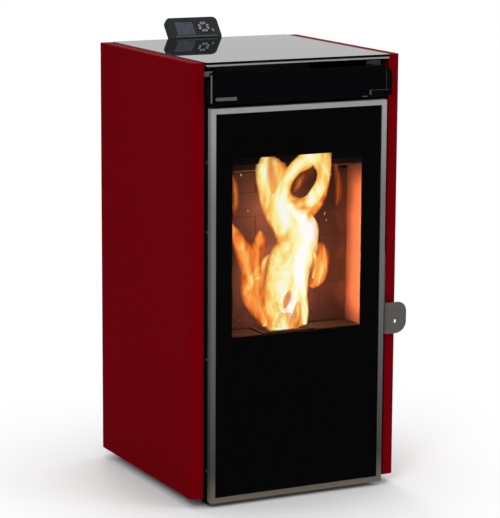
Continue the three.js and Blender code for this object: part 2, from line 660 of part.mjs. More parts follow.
function makeRoomFan() {
  const { left, right, y, z, wheelRadius, half } = ROOM_FAN;
  const shell = slab(left, right, y - half, y + half, z - half, z + half);
  const inside = slab(
    left + SHEET, right - SHEET, y - half + SHEET, y + half + 1, z - half + SHEET, z + half - SHEET,
  );
  const topSlot = slab(left + 4, right - 4, y - half + 4, y - 8, z + half - 4, z + half + 1);
  const shaftHole = rod(5, [right - 4, y, z], [right + 1, y, z], 12);
  part('room_fan_housing', cut(shell, inside, topSlot, shaftHole), zincSheet);

  const blades = [];
  const from = left + 6;
  const to = right - 6;
  for (let i = 0; i < 12; i += 1) {
    const blade = slab(from + 1, to - 1, -1, 1, wheelRadius - 9, wheelRadius - 1);
    blades.push(blade.rotateX((i / 12) * Math.PI * 2));
  }
  const disc = (start) => rod(wheelRadius, [start, 0, 0], [start + 2, 0, 0], 24);
  const shaft = rod(3, [from - 2, 0, 0], [right + 10, 0, 0], 12);
  part('room_fan_wheel', join(disc(from), disc(to - 2), shaft, ...blades), zincSheet).position.set(0, y, z);

  const motor = rod(23, [right + 4, y, z], [right + 36, y, z], 20);
  const stool = rod(12, [right + GAP, y, z], [right + 5, y, z], 16);
  const bore = rod(3.8, [right - 1, y, z], [right + 14, y, z], 12);
  part('room_fan_motor', cut(join(motor, stool), bore), blackPaint);
}

// ---------------------------------------------------------------- electrics

function makeElectrics() {
  const board = slab(196, 198, 250, 400, 240, 400);
  const relay = slab(192, 197, 260, 300, 260, 300);
  const terminals = slab(190, 197, 320, 392, 246, 262);
  const transformer = slab(178, 197, 330, 372, 300, 345);
  const carrier = slab(197.5, 199.5, 240, 410, BASE.high + GAP, 410);
  part('control_board', join(board, relay, terminals, transformer, carrier), boardGreen);

  const { x, z, halfWidth, halfHeight } = INLET;
  const block = (grow, y0, y1) => slab(
    x - halfWidth - grow, x + halfWidth + grow, y0, y1, z - halfHeight - grow, z + halfHeight + grow,
  );
  const flange = block(3, REAR.back + GAP, REAR.back + 3);
  const bodyBlock = block(-GAP, 428, REAR.back + 1);
  const socket = slab(x - 12.5, x + 12.5, 436, REAR.back + 4, z - 30, z - 12);
  const blades = [-7, 0, 7].map((dx) => slab(x + dx - 1, x + dx + 1, 435, 448, z - 24, z - 18));
  const recess = slab(x - 8, x + 8, 440, REAR.back + 4, z + 2, z + 30);
  part('mains_inlet', join(cut(join(flange, bodyBlock), socket, recess), ...blades), blackPlastic);

  const rocker = toShape([
    [448, z + 4.5], [452, z + 4.5], [455, z + 6], [453.6, z + 16],
    [455, z + 26], [452, z + 27.5], [448, z + 27.5], [446, z + 16],
  ]);
  const tilt = THREE.MathUtils.degToRad(7);
  const pivot = [0, 450, z + 16];
  const tilted = prismX(rocker, -7, 7)
    .translate(-pivot[0], -pivot[1], -pivot[2])
    .rotateX(tilt)
    .translate(x, pivot[1], pivot[2]);
  part('rocker_switch', tilted, blackPlastic);

  const button = rod(RESET.radius - GAP, [RESET.x, 440, RESET.z], [RESET.x, REAR.back + 4, RESET.z], 16);
  const flangeDisc = rod(RESET.radius + 3, [RESET.x, 440, RESET.z], [RESET.x, 443, RESET.z], 16);
  part('reset_button', join(button, flangeDisc), blackPlastic);
}

// ---------------------------------------------------------------- door

// A leaf at height z carries a vertical pin, and a flange joins it to the front plate.
function makeHingeBracket(name, z, flangeLow, flangeHigh, pinFrom, pinTo) {
  const leaf = slab(HINGE.x - 9, HINGE.x + 9, -1.5, FRONT_PLATE.front - GAP, z, z + 2);
  const wall = FRONT_PLATE.front - GAP;
  const flange = slab(HINGE.x - 9, HINGE.x + 9, wall - 2, wall, flangeLow, flangeHigh);
  const pin = rod(HINGE.pinRadius, [HINGE.x, HINGE.y, pinFrom], [HINGE.x, HINGE.y, pinTo], 12);
  part(name, join(leaf, flange, pin), zincSheet);
}

function makeHingeBrackets() {
  const { low, high } = DOOR;
  makeHingeBracket('hinge_bracket_top', high + 2.2, high - 40, high + 4, high - 14, high + 3.5);
  makeHingeBracket('hinge_bracket_bottom', low - 3.2, low - 3.2, low + 46, low - 2.5, low + 14);
}

function makeDoor() {
  const { halfWidth, low, high, front, back, face } = DOOR;
  const outer = () => roundedRectangle(-halfWidth, halfWidth, low, high, 1.5);
  const faceRing = prismY(
    frameShape(outer(), rectangle(-halfWidth + face, halfWidth - face, low + face, high - face)),
    front, front + 2.4,
  );
  const sideRing = prismY(
    frameShape(outer(), rectangle(-halfWidth + 2, halfWidth - 2, low + 2, high - 2)),
    front, back,
  );
  const pinSpace = rod(
    HINGE.pinRadius + 0.6, [HINGE.x, HINGE.y, low - 1], [HINGE.x, HINGE.y, high + 1], 12,
  );
  part('door_frame', cut(join(faceRing, sideRing), pinSpace), silverPaint);

  const inside = halfWidth - 2 - GAP;
  const glassLow = low + 2 + GAP;
  const glassHigh = high - 2 - GAP;
  const pane = wideSlab(inside, DOOR_GLASS.front, DOOR_GLASS.back, glassLow, glassHigh);
  part('door_glass', pane, blackGlass);

  const panLow = DOOR_GLASS.back + GAP;
  const panShape = rectangle(-inside, inside, glassLow, glassHigh);
  panShape.holes.push(rectangle(WINDOW.left, WINDOW.right, WINDOW.low, WINDOW.high));
  const pan = prismY(panShape, panLow, panLow + 2);
  const flange = prismY(
    frameShape(rectangle(-inside, inside, glassLow, glassHigh),
      rectangle(-inside + 2, inside - 2, glassLow + 2, glassHigh - 2)),
    panLow, 8,
  );
  const sealSeat = prismY(
    frameShape(rectangle(-178, 178, 180, 726), rectangle(-166, 166, 192, 714)),
    panLow + 1, 14,
  );
  part('door_inner_panel', cut(join(pan, flange, sealSeat), pinSpace), blackPaint);

  const rope = frameShape(
    roundedRectangle(-177, 177, 181, 725, 8),
    roundedRectangle(-167, 167, 191, 715, 4),
  );
  part('door_gasket', prismY(rope, 14 + GAP, FRONT_PLATE.front - GAP), ropeSeal);
}

// The lever is one bent sheet: an arm in the gap beside the door, a round bend, and a grip tab in
// front of the right return. A vertical pin in the bracket's two ears carries it.
function makeLatch() {
  const { x, y, low, high, tabTop, tipX, pinRadius } = LATCH;
  const armX = x - 1;
  const tabFront = -13.4;
  const section = bentSheet([[armX, 20], [armX, tabFront, 8], [tipX, tabFront]], 2, 5);
  const bent = prismZ(section, low, tabTop);
  const grip = new THREE.Shape();
  grip.moveTo(armX - 20, low - 1);
  grip.lineTo(tipX - 25, low - 1);
  grip.absarc(tipX - 25, low + 25, 25, -Math.PI / 2, 0);
  grip.absarc(tipX - 20, tabTop - 20, 20, 0, Math.PI / 2);
  grip.lineTo(armX - 20, tabTop);
  const gripBlock = prismY(grip, -20, 40);
  const tab = toGeometry(toSolid(bent).intersect(toSolid(gripBlock)));
  const armSide = toShape([
    [-7, tabTop - 4], [20, tabTop - 4], [20, high], [-2, high], [-7, high - 8],
  ]);
  const upperArm = prismX(armSide, armX, armX + 2);
  const barrel = rod(3.2, [x, y, low], [x, y, high], 16);
  const tongue = slab(190.2, armX + 1, 17.5, 20, 405, 435);
  const bore = rod(pinRadius + GAP, [x, y, low - 1], [x, y, high + 1], 12);
  const hookHole = rod(4, [223, tabFront - 2, 349], [223, tabFront + 4, 349], 12);
  part('latch_lever', cut(join(tab, upperArm, barrel, tongue), bore, hookHole), stainless);

  const inside = DOOR.halfWidth - 2 - GAP;
  const strip = slab(inside - 16, inside + 2, 8 + GAP, 10.5, low - 4, high + 4);
  const ear = (z) => slab(inside + GAP, x + 3.4, 2.9, 10.5, z, z + 2.5);
  const pin = rod(pinRadius, [x, y, low - 4], [x, y, high + 4], 12);
  const lowEar = ear(low - 4);
  const highEar = ear(high + 1.5);
  part('latch_bracket', join(strip, lowEar, highEar, pin), zincSheet);

  const strikerBase = slab(180, 189.6, FRONT_PLATE.front - GAP - 2, FRONT_PLATE.front - GAP, 400, 440);
  const strikerLip = slab(187, 189.6, 12, FRONT_PLATE.front - GAP - 1, 405, 435);
  part('latch_striker', join(strikerBase, strikerLip), zincSheet);
}

// ---------------------------------------------------------------- lid

function makeLid() {
  const { halfWidth, front, rear, low, hinge: axis } = LID;
  const { corner } = GLASS_TOP;
  const glass = roundedRectangle(
    -GLASS_TOP.halfWidth, GLASS_TOP.halfWidth, GLASS_TOP.front, GLASS_TOP.rear, corner,
  );
  part('top_plate', prismZ(glass, GLASS_TOP.low, GLASS_TOP.high), blackGlass);

  const sheet = wideSlab(halfWidth, front, rear, low, GLASS_TOP.low - GAP);
  const dam = prismZ(
    frameShape(rectangle(-142, 142, 240, 420), rectangle(-140, 140, 242, 418)),
    888, low + 1,
  );
  const knuckles = [-1, 1].map((side) => {
    const barrel = rod(2, [side * 100, axis.y, axis.z], [side * 112, axis.y, axis.z], 12);
    const x0 = Math.min(side * 100, side * 112);
    const web = slab(x0, x0 + 12, axis.y - 2, axis.y, axis.z, low + 1);
    return join(barrel, web);
  });
  const bores = [-1, 1].map((side) =>
    rod(1.5, [side * 104, axis.y, axis.z], [side * 113, axis.y, axis.z], 12));
  const tray = join(sheet, dam, ...knuckles, slab(-112, 112, rear - 1, axis.y, low, GLASS_TOP.low - GAP));
  part('lid_frame', cut(tray, ...bores), blackPaint);

  for (const [name, side] of [['lid_hinge_left', -1], ['lid_hinge_right', 1]]) {
    const inner = side * 112.6;
    const outer = side * 126;
    const x0 = Math.min(inner, outer);
    const x1 = Math.max(inner, outer);
    const leaf = slab(x0, x1, REAR.front - GAP - SHEET, REAR.front - GAP, 862, axis.z);
    const barrel = rod(2, [inner, axis.y, axis.z], [outer, axis.y, axis.z], 12);
    const pin = rod(1.2, [side * 105, axis.y, axis.z], [side * 115, axis.y, axis.z], 12);
    part(name, join(leaf, barrel, pin), zincSheet);
  }
}

// ---------------------------------------------------------------- display

const display = new THREE.Group();
display.position.set(DISPLAY.x, DISPLAY.y, DISPLAY.z);
display.rotation.x = THREE.MathUtils.degToRad(90 - DISPLAY.lean);
stove.add(display);

// One quarter of the round keypad, between two radii.
function keyShape(middle) {
  const inner = 5.2;
  const outer = KEYPAD.radius - 1;
  const half = THREE.MathUtils.degToRad(42);
  const shape = new THREE.Shape();
  shape.absarc(0, 0, outer, middle - half, middle + half);
  shape.absarc(0, 0, inner, middle + half, middle - half, true);
  return shape;
}

function makeDisplay() {
  const { width, height, depth } = DISPLAY;
  const outline = roundedRectangle(-width / 2, width / 2, 0, height, 4, 11);
  const block = prismZ(outline, -depth, 0);
  const screenPocket = slab(-42, 1, 8, 42, -2.4, 1);
  const keyPocket = rod(KEYPAD.radius, [KEYPAD.x, KEYPAD.y, -5], [KEYPAD.x, KEYPAD.y, 1], 32);
  const post = rod(4.2, [KEYPAD.x, KEYPAD.y, -6], [KEYPAD.x, KEYPAD.y, 0.6], 16);
  part('display_housing', join(cut(block, screenPocket, keyPocket), post), blackPlastic, display);
  part('display_screen', slab(-41.6, 0.6, 8.4, 41.6, -2.1, -0.4), screenPlastic, display);
  const directions = { key_right: 0, key_up: 1, key_left: 2, key_down: 3 };
  for (const [name, quarter] of Object.entries(directions)) {
    const key = prismZ(keyShape((quarter * Math.PI) / 2), -3.4, 0.9);
    part(name, key.translate(KEYPAD.x, KEYPAD.y, 0), screenPlastic, display);
  }
}

// A bent strap from the rear panel's outside to the back of the display.
function makeDisplayBracket() {
  const tilt = THREE.MathUtils.degToRad(DISPLAY.lean);
  const along = [Math.sin(tilt), Math.cos(tilt)];
  const away = [Math.cos(tilt), -Math.sin(tilt)];
  const reach = DISPLAY.depth + GAP + 0.2;
  const heel = [DISPLAY.y + away[0] * reach, DISPLAY.z + away[1] * reach];
  const shelf = heel[1] - 1.9;
  const corner = [heel[0] - (along[0] * 1.9) / along[1], shelf];
  const tip = [heel[0] + along[0] * 30, heel[1] + along[1] * 30];
  const wallY = REAR.back + GAP;
  const path = [[tip[0], tip[1]], [corner[0], corner[1], 2.6], [wallY, shelf, 2.6], [wallY, 842]];
  const strap = prismX(bentSheet(path, 2, 3), DISPLAY.x - 35, DISPLAY.x + 35);
  part('display_bracket', strap, blackPaint);
}

// ---------------------------------------------------------------- the whole stove

makeBase();
for (const [name, [x, y]] of Object.entries(footPlaces)) {
  makeFoot(name, x, y);
}
makeSidePanel('left_side_panel', -1);
makeSidePanel('right_side_panel', 1);
makeRearPanel();
makeTopFrame();
makeOutletBar();
makeAirOutletDuct();
makeFrontPlate();
makeChamber();
makeRefractories();
makePotAndSupport();
makeAshDrawer();
makeHeatExchanger();
makeIgniter();
makeHopper();
makeAuger();
makeChute();
makeSmokePath();
makeRoomFan();
makeElectrics();
makeHingeBrackets();
makeDoor();
makeLatch();
makeLid();
makeDisplay();
makeDisplayBracket();

stove.position.set(
  -(FOOTPRINT.left + FOOTPRINT.right) / 2,
  -(FOOTPRINT.front + FOOTPRINT.rear) / 2,
  0,
);
const root = new THREE.Group();
root.add(stove);

export default root;
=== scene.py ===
import math
import random

import bmesh
import bpy
from mathutils import Matrix, Vector, noise
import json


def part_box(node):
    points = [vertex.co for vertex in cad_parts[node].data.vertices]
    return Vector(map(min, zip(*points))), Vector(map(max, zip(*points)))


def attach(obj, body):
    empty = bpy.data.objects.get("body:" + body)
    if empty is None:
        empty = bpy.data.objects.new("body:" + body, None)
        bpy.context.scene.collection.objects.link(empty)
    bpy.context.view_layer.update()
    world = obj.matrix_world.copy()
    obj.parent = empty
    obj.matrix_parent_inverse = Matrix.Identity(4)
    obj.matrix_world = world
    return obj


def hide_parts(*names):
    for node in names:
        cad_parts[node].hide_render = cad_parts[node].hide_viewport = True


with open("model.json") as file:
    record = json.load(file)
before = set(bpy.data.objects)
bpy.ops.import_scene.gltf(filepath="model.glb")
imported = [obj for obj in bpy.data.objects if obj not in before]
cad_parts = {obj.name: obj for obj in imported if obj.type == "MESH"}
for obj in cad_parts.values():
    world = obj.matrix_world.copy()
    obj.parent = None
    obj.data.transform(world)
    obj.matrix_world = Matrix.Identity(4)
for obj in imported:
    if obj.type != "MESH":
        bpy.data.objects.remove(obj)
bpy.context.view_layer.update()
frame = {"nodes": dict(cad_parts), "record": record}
scene = bpy.context.scene
nodes = frame["nodes"]
slot_of = {row["node"]: row["material_slot"] for row in frame["record"]["subparts"]}
body_of = {name: body for body, names in frame["record"]["behaviour"]["bodies"].items() for name in names}


# -------------------- studio
# A pale floor that fades into a white surround, four soft lamps, and the camera where the
# photographer stood: to the stove's left, a little above its top, with a long lens.

def new_shader(name, colour, roughness, **plain):
    material = bpy.data.materials.new(name)
    material.use_nodes = True
    shader = material.node_tree.nodes["Principled BSDF"]
    shader.inputs["Base Color"].default_value = (*colour, 1.0)
    shader.inputs["Roughness"].default_value = roughness
    for socket, value in plain.items():
        shader.inputs[socket.replace("_", " ")].default_value = value
    return material, material.node_tree, shader


def feed(tree, node, inputs):
    """Each input gets a value, or a link from a node or from a pair of a node and its output."""
    for socket, source in dict(inputs).items():
        if isinstance(source, bpy.types.Node):
            source = (source, 0)
        if isinstance(source, tuple) and isinstance(source[0], bpy.types.Node):
            tree.links.new(source[0].outputs[source[1]], node.inputs[socket])
        else:
            node.inputs[socket].default_value = source


def add(tree, kind, inputs=(), **settings):
    made = tree.nodes.new(kind)
    for setting, value in settings.items():
        setattr(made, setting, value)
    feed(tree, made, inputs)
    return made


def own_point(tree):
    return add(tree, "ShaderNodeTexCoord"), "Object"


def calc(tree, operation, *values):
    return add(tree, "ShaderNodeMath", enumerate(values), operation=operation)


def rescale(tree, source, low, high, to_low=0.0, to_high=1.0):
    return add(tree, "ShaderNodeMapRange", {"Value": source, "From Min": low, "From Max": high,
                                            "To Min": to_low, "To Max": to_high})


def colour_ramp(tree, source, *stops):
    ramp = add(tree, "ShaderNodeValToRGB", {"Fac": source})
    marks = ramp.color_ramp.elements
    while len(marks) < len(stops):
        marks.new(0.5)
    for mark, (position, colour) in zip(marks, stops):
        mark.position = position
        mark.color = (*colour, 1.0)
    return ramp


def new_mesh_piece(name, vertices, faces):
    mesh = bpy.data.meshes.new(name)
    mesh.from_pydata([tuple(v) for v in vertices], [], faces)
    mesh.validate()
    piece = bpy.data.objects.new(name, mesh)
    scene.collection.objects.link(piece)
    return piece


floor = new_mesh_piece("studio_floor", [(-4, -4, 0), (4, -4, 0), (4, 4, 0), (-4, 4, 0)], [(0, 1, 2, 3)])
floor.visible_glossy = False
floor.visible_transmission = False
floor_finish, tree, shader = new_shader("studio_floor", (0.9, 0.9, 0.9), 0.9, Specular_IOR_Level=0.0)
rays = add(tree, "ShaderNodeLightPath")
reach = add(tree, "ShaderNodeVectorMath", {0: own_point(tree)}, operation="LENGTH")
seen = calc(tree, "MULTIPLY", rescale(tree, (reach, "Value"), 0.30, 0.85), (rays, "Is Camera Ray"))
white = add(tree, "ShaderNodeEmission", {"Color": (1, 1, 1, 1), "Strength": 1.0})
blend = add(tree, "ShaderNodeMixShader", {0: seen, 1: shader, 2: white})
feed(tree, tree.nodes["Material Output"], {"Surface": blend})
floor.data.materials.append(floor_finish)

# The surround is white to the camera. Gloss and glass see the white sheet behind the stove, and
# a dim room elsewhere, as in a studio with one backdrop.
world = bpy.data.worlds.new("studio")
scene.world = world
world.use_nodes = True
tree = world.node_tree
light = tree.nodes["Background"]
feed(tree, light, {"Color": (1, 1, 1, 1), "Strength": 0.62})
sheet = add(tree, "ShaderNodeBackground", {"Color": (1, 1, 1, 1), "Strength": 1.0})
direction = add(tree, "ShaderNodeTexCoord")
rays = add(tree, "ShaderNodeLightPath")
to_backdrop = Vector((0.40, 0.86, 0.30)).normalized()
towards = add(tree, "ShaderNodeVectorMath", {0: (direction, "Generated"), 1: to_backdrop},
              operation="DOT_PRODUCT")
levels = colour_ramp(tree, rescale(tree, (towards, "Value"), -1.0, 1.0),
                     (0.0, (0.03, 0.03, 0.032)), (0.5, (0.035, 0.035, 0.037)), (0.72, (0.06, 0.06, 0.06)),
                     (0.84, (0.12, 0.12, 0.12)), (0.92, (0.66, 0.66, 0.66)), (1.0, (0.86, 0.86, 0.86)))
room = add(tree, "ShaderNodeBackground", {"Color": levels, "Strength": 1.0})
sharp = calc(tree, "MAXIMUM", (rays, "Is Glossy Ray"), (rays, "Is Transmission Ray"))
lit = add(tree, "ShaderNodeMixShader", {0: sharp, 1: light, 2: room})
shown = add(tree, "ShaderNodeMixShader", {0: (rays, "Is Camera Ray"), 1: lit, 2: sheet})
feed(tree, tree.nodes["World Output"], {"Surface": shown})


def add_lamp(name, kind, spot, aim, size, watts, colour=(1, 1, 1)):
    lamp = bpy.data.lights.new(name, kind)
    lamp.energy = watts
    lamp.color = colour
    if kind == "AREA":
        lamp.shape = "DISK"
        lamp.size = size
    else:
        lamp.shadow_soft_size = size
    holder = bpy.data.objects.new(name, lamp)
    holder.location = spot
    holder.rotation_mode = "QUATERNION"
    holder.rotation_quaternion = (Vector(aim) - Vector(spot)).to_track_quat("-Z", "Y")
    holder.visible_glossy = False
    holder.visible_camera = False
    holder.visible_transmission = False
    scene.collection.objects.link(holder)
    return lamp


add_lamp("lamp_front_left", "AREA", (-2.6, -2.8, 2.6), (0, 0, 0.5), 1.6, 50)
add_lamp("lamp_front_right", "AREA", (2.4, -2.6, 2.0), (0, 0, 0.5), 1.6, 26)
add_lamp("lamp_above", "AREA", (0.2, 0.3, 3.4), (0, 0, 0.8), 1.8, 30)
add_lamp("lamp_back", "AREA", (0.6, 3.0, 2.2), (0, 0, 0.6), 1.6, 30)

camera = bpy.data.objects.new("camera", bpy.data.cameras.new("camera"))
scene.collection.objects.link(camera)
scene.camera = camera
yaw, pitch, roll = math.radians(26.74), math.radians(10.81), math.radians(0.32)
turn = (Matrix.Rotation(-yaw, 4, "Z") @ Matrix.Rotation(math.pi / 2 - pitch, 4, "X")
        @ Matrix.Rotation(roll, 4, "Z"))
camera.matrix_world = Matrix.Translation((-2.20395, -4.38980, 1.391)) @ turn
camera.data.sensor_width = 36
camera.data.lens = 164.78
camera.data.clip_start = 0.1
camera.data.clip_end = 60
scene.view_settings.view_transform = "Standard"


# -------------------- painted side panels
# One folded steel sheet a side, powder-coated a deep red: a return in front, the flat side, a
# return behind and a rim on top. The coat has a fine orange-peel surface and a satin gloss.

panel_low, panel_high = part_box("left_side_panel")
middle_x = (panel_low.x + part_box("right_side_panel")[1].x) / 2
front_y = panel_low.y
HALF_WIDTH = (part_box("right_side_panel")[1].x - middle_x) * 1000
DEPTH = (panel_high.y - panel_low.y) * 1000


def place(x, y, z):
    """A point from the cabinet's middle, the face of its front returns and the floor, in mm."""
    return Vector((middle_x + x / 1000, front_y + y / 1000, z / 1000))


def new_group(name, inputs, outputs):
    group = bpy.data.node_groups.new(name, "ShaderNodeTree")
    for label, value in inputs.items():
        kind = "NodeSocketColor" if isinstance(value, tuple) else "NodeSocketFloat"
        socket = group.interface.new_socket(label, in_out="INPUT", socket_type=kind)
        socket.default_value = value
    for label, kind in outputs.items():
        group.interface.new_socket(label, in_out="OUTPUT", socket_type=kind)
    return group, add(group, "NodeGroupInput"), add(group, "NodeGroupOutput")


def grain(tree, **inputs):
    """Noise over the object's own coordinates."""
    return add(tree, "ShaderNodeTexNoise", {"Vector": own_point(tree), **inputs})


SURFACE = {"Tone": "NodeSocketColor", "Roughness": "NodeSocketFloat", "Height": "NodeSocketFloat"}

# Powder coat: the peel is a soft bump, and broad faint clouds change the gloss and the tone.
powder, given, result = new_group(
    "powder_coat", {"Tone": (0.5, 0.5, 0.5, 1.0), "Clouds": 0.06, "Gloss": 0.35, "Peel size": 420.0}, SURFACE)
peel = grain(powder, Scale=(given, "Peel size"), Detail=2.0, Roughness=0.5)
cloud = grain(powder, Scale=5.0, Detail=3.0)
change = calc(powder, "MULTIPLY", calc(powder, "SUBTRACT", cloud, 0.5), (given, "Clouds"))
value = calc(powder, "ADD", change, 1.0)
tinted = add(powder, "ShaderNodeVectorMath", {0: (given, "Tone"), "Scale": value}, operation="SCALE")
rough = calc(powder, "MULTIPLY", value, (given, "Gloss"))
feed(powder, result, {"Tone": tinted, "Roughness": rough, "Height": peel})


def dress(name, group, values, bump, depth, **plain):
    """A material whose tone, roughness and relief come from one of the surface groups."""
    material, tree, shader = new_shader(name, (0.5, 0.5, 0.5), 0.5, **plain)
    inputs = {label: (*value, 1.0) if isinstance(value, tuple) else value for label, value in values.items()}
    layer = add(tree, "ShaderNodeGroup", inputs, node_tree=group)
    relief = add(tree, "ShaderNodeBump", {"Strength": bump, "Distance": depth, "Height": (layer, "Height")})
    feed(tree, shader, {"Base Color": (layer, "Tone"), "Roughness": (layer, "Roughness"), "Normal": relief})
    return material


def painted(name, tone, clouds, gloss, peel_size, bump, depth=0.0001, **plain):
    values = {"Tone": tone, "Clouds": clouds, "Gloss": gloss, "Peel size": peel_size}
    return dress(name, powder, values, bump, depth, **plain)


red_paint = painted("red_paint", (0.148, 0.0003, 0.0032), 0.05, 0.42, 520.0, 0.12, Specular_IOR_Level=0.003)


def settle(piece):
    """Applies what the modifiers make, so that a plain mesh is left."""
    graph = bpy.context.evaluated_depsgraph_get()
    mesh = bpy.data.meshes.new_from_object(
        piece.evaluated_get(graph), preserve_all_data_layers=True, depsgraph=graph)
    piece.modifiers.clear()
    old = piece.data
    piece.data = mesh
    mesh.name = piece.name
    if old.users == 0:
        bpy.data.meshes.remove(old)
    return piece


def finish_piece(piece, material, body, slot, *stands_for, smooth=35):
    """The finished mesh gets its material and shading, and moves with its body."""
    piece.data.materials.clear()
    piece.data.materials.append(material)
    piece.data.shade_smooth()
    piece.data.set_sharp_from_angle(angle=math.radians(smooth))
    flats = piece.modifiers.new("flats stay flat", "WEIGHTED_NORMAL")
    flats.keep_sharp = True
    settle(piece)
    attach(piece, body)
    if stands_for:
        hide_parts(*stands_for)
    return piece


def round_edges(piece, width, segments=2, angle=30):
    bevel = piece.modifiers.new("rounded edges", "BEVEL")
    bevel.width = width
    bevel.segments = segments
    bevel.limit_method = "ANGLE"
    bevel.angle_limit = math.radians(angle)
    bevel.use_clamp_overlap = True
    return settle(piece)


def ring_faces(first, second, count):
    """Joins two rings of vertices, given by their first ones."""
    return [(first + i, first + (i + 1) % count, second + (i + 1) % count, second + i) for i in range(count)]


def capped(name, vertices, rings=2):
    """A closed piece through rings of vertices, with a face over the first and the last ring."""
    count = len(vertices) // rings
    faces = [tuple(reversed(range(count))), tuple(range(len(vertices) - count, len(vertices)))]
    for ring in range(rings - 1):
        faces += ring_faces(ring * count, (ring + 1) * count, count)
    return new_mesh_piece(name, vertices, faces)


def prism(name, outline, low, high):
    """An outline of (x, y) points, drawn anticlockwise, standing from low to high."""
    return capped(name, [(x, y, z) for z in (low, high) for x, y in outline])


def arc(cx, cy, radius, start, end, steps):
    angles = [math.radians(start + (end - start) * i / steps) for i in range(steps + 1)]
    return [(cx + radius * math.cos(a), cy + radius * math.sin(a)) for a in angles]


FRONT_BEND, REAR_BEND, WALL, COAT = 12, 6, 1.5, 0.35


def bends(inset):
    """The front and the rear bend of the right-hand side, this far inside its outer face."""
    return (arc(HALF_WIDTH - FRONT_BEND, FRONT_BEND, FRONT_BEND - inset, -90, 0, 14)
            + arc(HALF_WIDTH - REAR_BEND, DEPTH - REAR_BEND, REAR_BEND - inset, 0, 90, 10))


def sheet_section(lip_x, lip_depth):
    """The right-hand sheet: lip, front return, side and rear return, then back inside."""
    return [(lip_x, lip_depth), (lip_x, 2.0), *arc(lip_x + 2, 2.0, 2.0, 180, 270, 5)[1:], *bends(0),
            (lip_x, DEPTH), (lip_x, DEPTH - WALL), *bends(WALL)[::-1],
            *arc(lip_x + 2, 2.0, 2.0 - WALL, 270, 180, 5), (lip_x + WALL, lip_depth)]


def rim_section(inner_x):
    return [(inner_x, COAT), *bends(COAT), (inner_x, DEPTH - COAT)]


def standing(outline, side):
    row = [tuple(place(side * x, y, 0))[:2] for x, y in outline]
    return row if side > 0 else row[::-1]


def combine(piece, operation, tool):
    """Welds the tool to the piece, or cuts it out of it; only the piece stays."""
    change = piece.modifiers.new("combined", "BOOLEAN")
    change.operation = operation
    change.solver = "EXACT"
    change.object = tool
    settle(piece)
    bpy.data.objects.remove(tool)


for name, side in (("left_side_panel", -1), ("right_side_panel", 1)):
    folded = prism(name + "_sheet", standing(sheet_section(206.7, 37), side),
                   panel_low.z, panel_high.z - 0.0007)
    rim = prism(name + "_rim", standing(rim_section(207.0), side), panel_high.z - 0.0016, panel_high.z)
    combine(folded, "UNION", rim)
    round_edges(folded, 0.0005)
    finish_piece(folded, red_paint, "cabinet", "red_paint", name)


# -------------------- silver door frame and trim
# The door's thin frame and the lip under the glass top are folded steel in a fine metallic grey.
# A painted reflection darkens the frame towards the floor, browning it a little there, and lightens it
# towards the top.

def mixed(tree, factor, a, b, **settings):
    mix = add(tree, "ShaderNodeMix", {"Factor": factor, "A": a, "B": b}, data_type="RGBA", **settings)
    return mix, "Result"


def eased(material, width, *names, segments=2, angle=30):
    """The solids' own shapes, with the razor edges broken by a few tenths of a millimetre."""
    for name in names:
        mesh = nodes[name].data.copy()
        piece = bpy.data.objects.new(name + "_eased", mesh)
        scene.collection.objects.link(piece)
        shape = bmesh.new()
        shape.from_mesh(mesh)
        bmesh.ops.remove_doubles(shape, verts=shape.verts, dist=2e-6)
        bmesh.ops.dissolve_limit(shape, angle_limit=math.radians(0.6), verts=shape.verts, edges=shape.edges)
        shape.to_mesh(mesh)
        shape.free()
        round_edges(piece, width, segments, angle)
        finish_piece(piece, material, body_of[name], slot_of[name], name)


silver_paint = painted("silver_paint", (0.45, 0.445, 0.43), 0.10, 0.42, 900.0, 0.08, Metallic=0.3)
tree = silver_paint.node_tree
# Painted reflection and shade: the grey is multiplied by a ramp over height, near white at the top, dark
# towards the floor, and brownish at the very bottom.
height = add(tree, "ShaderNodeSeparateXYZ", {0: own_point(tree)})
wear_and_painted_light = colour_ramp(tree, rescale(tree, (height, "Z"), 0.0, 0.82),
                   (0.0, (0.52, 0.45, 0.38)), (0.03, (0.40, 0.36, 0.31)), (0.09, (0.17, 0.165, 0.155)),
                   (0.45, (0.36, 0.36, 0.36)), (0.75, (0.50, 0.50, 0.51)), (0.97, (0.95, 0.95, 0.97)),
                   (1.0, (1.0, 1.0, 1.0)))
layer = next(made for made in tree.nodes if made.type == "GROUP")
darkened = mixed(tree, 1.0, (layer, "Tone"), wear_and_painted_light, blend_type="MULTIPLY")
feed(tree, tree.nodes["Principled BSDF"], {"Base Color": darkened})

eased(silver_paint, 0.0007, "door_frame")
eased(silver_paint, 0.0003, "top_frame")


# -------------------- black stove paint
# Matt heat-proof paint on the hidden cabinet parts, the door's inner panel and hinges, the lid
# tray and the motors.

def repaint(material, *names):
    """The solids that stay as they are only take the material."""
    for name in names:
        nodes[name].data.materials.clear()
        nodes[name].data.materials.append(material)


black_paint = painted("black_paint", (0.008, 0.008, 0.008), 0.25, 0.55, 900.0, 0.25, Specular_IOR_Level=0.3)
eased(black_paint, 0.0004, "rear_panel", "base_plate", "front_plate", "air_outlet_duct", "door_inner_panel",
      "lid_frame", "display_bracket")
eased(black_paint, 0.0003, "hinge_bracket_top", "hinge_bracket_bottom")
repaint(black_paint, "auger_motor", "smoke_fan_motor", "room_fan_motor")


# -------------------- bare metal
# Zinc-plated sheet inside the cabinet, on the lid hinges and behind the latch, and stainless
# sheet on the latch lever, the ash drawer and the auger. Rolling leaves a fine grain in them,
# and handling dull smears.

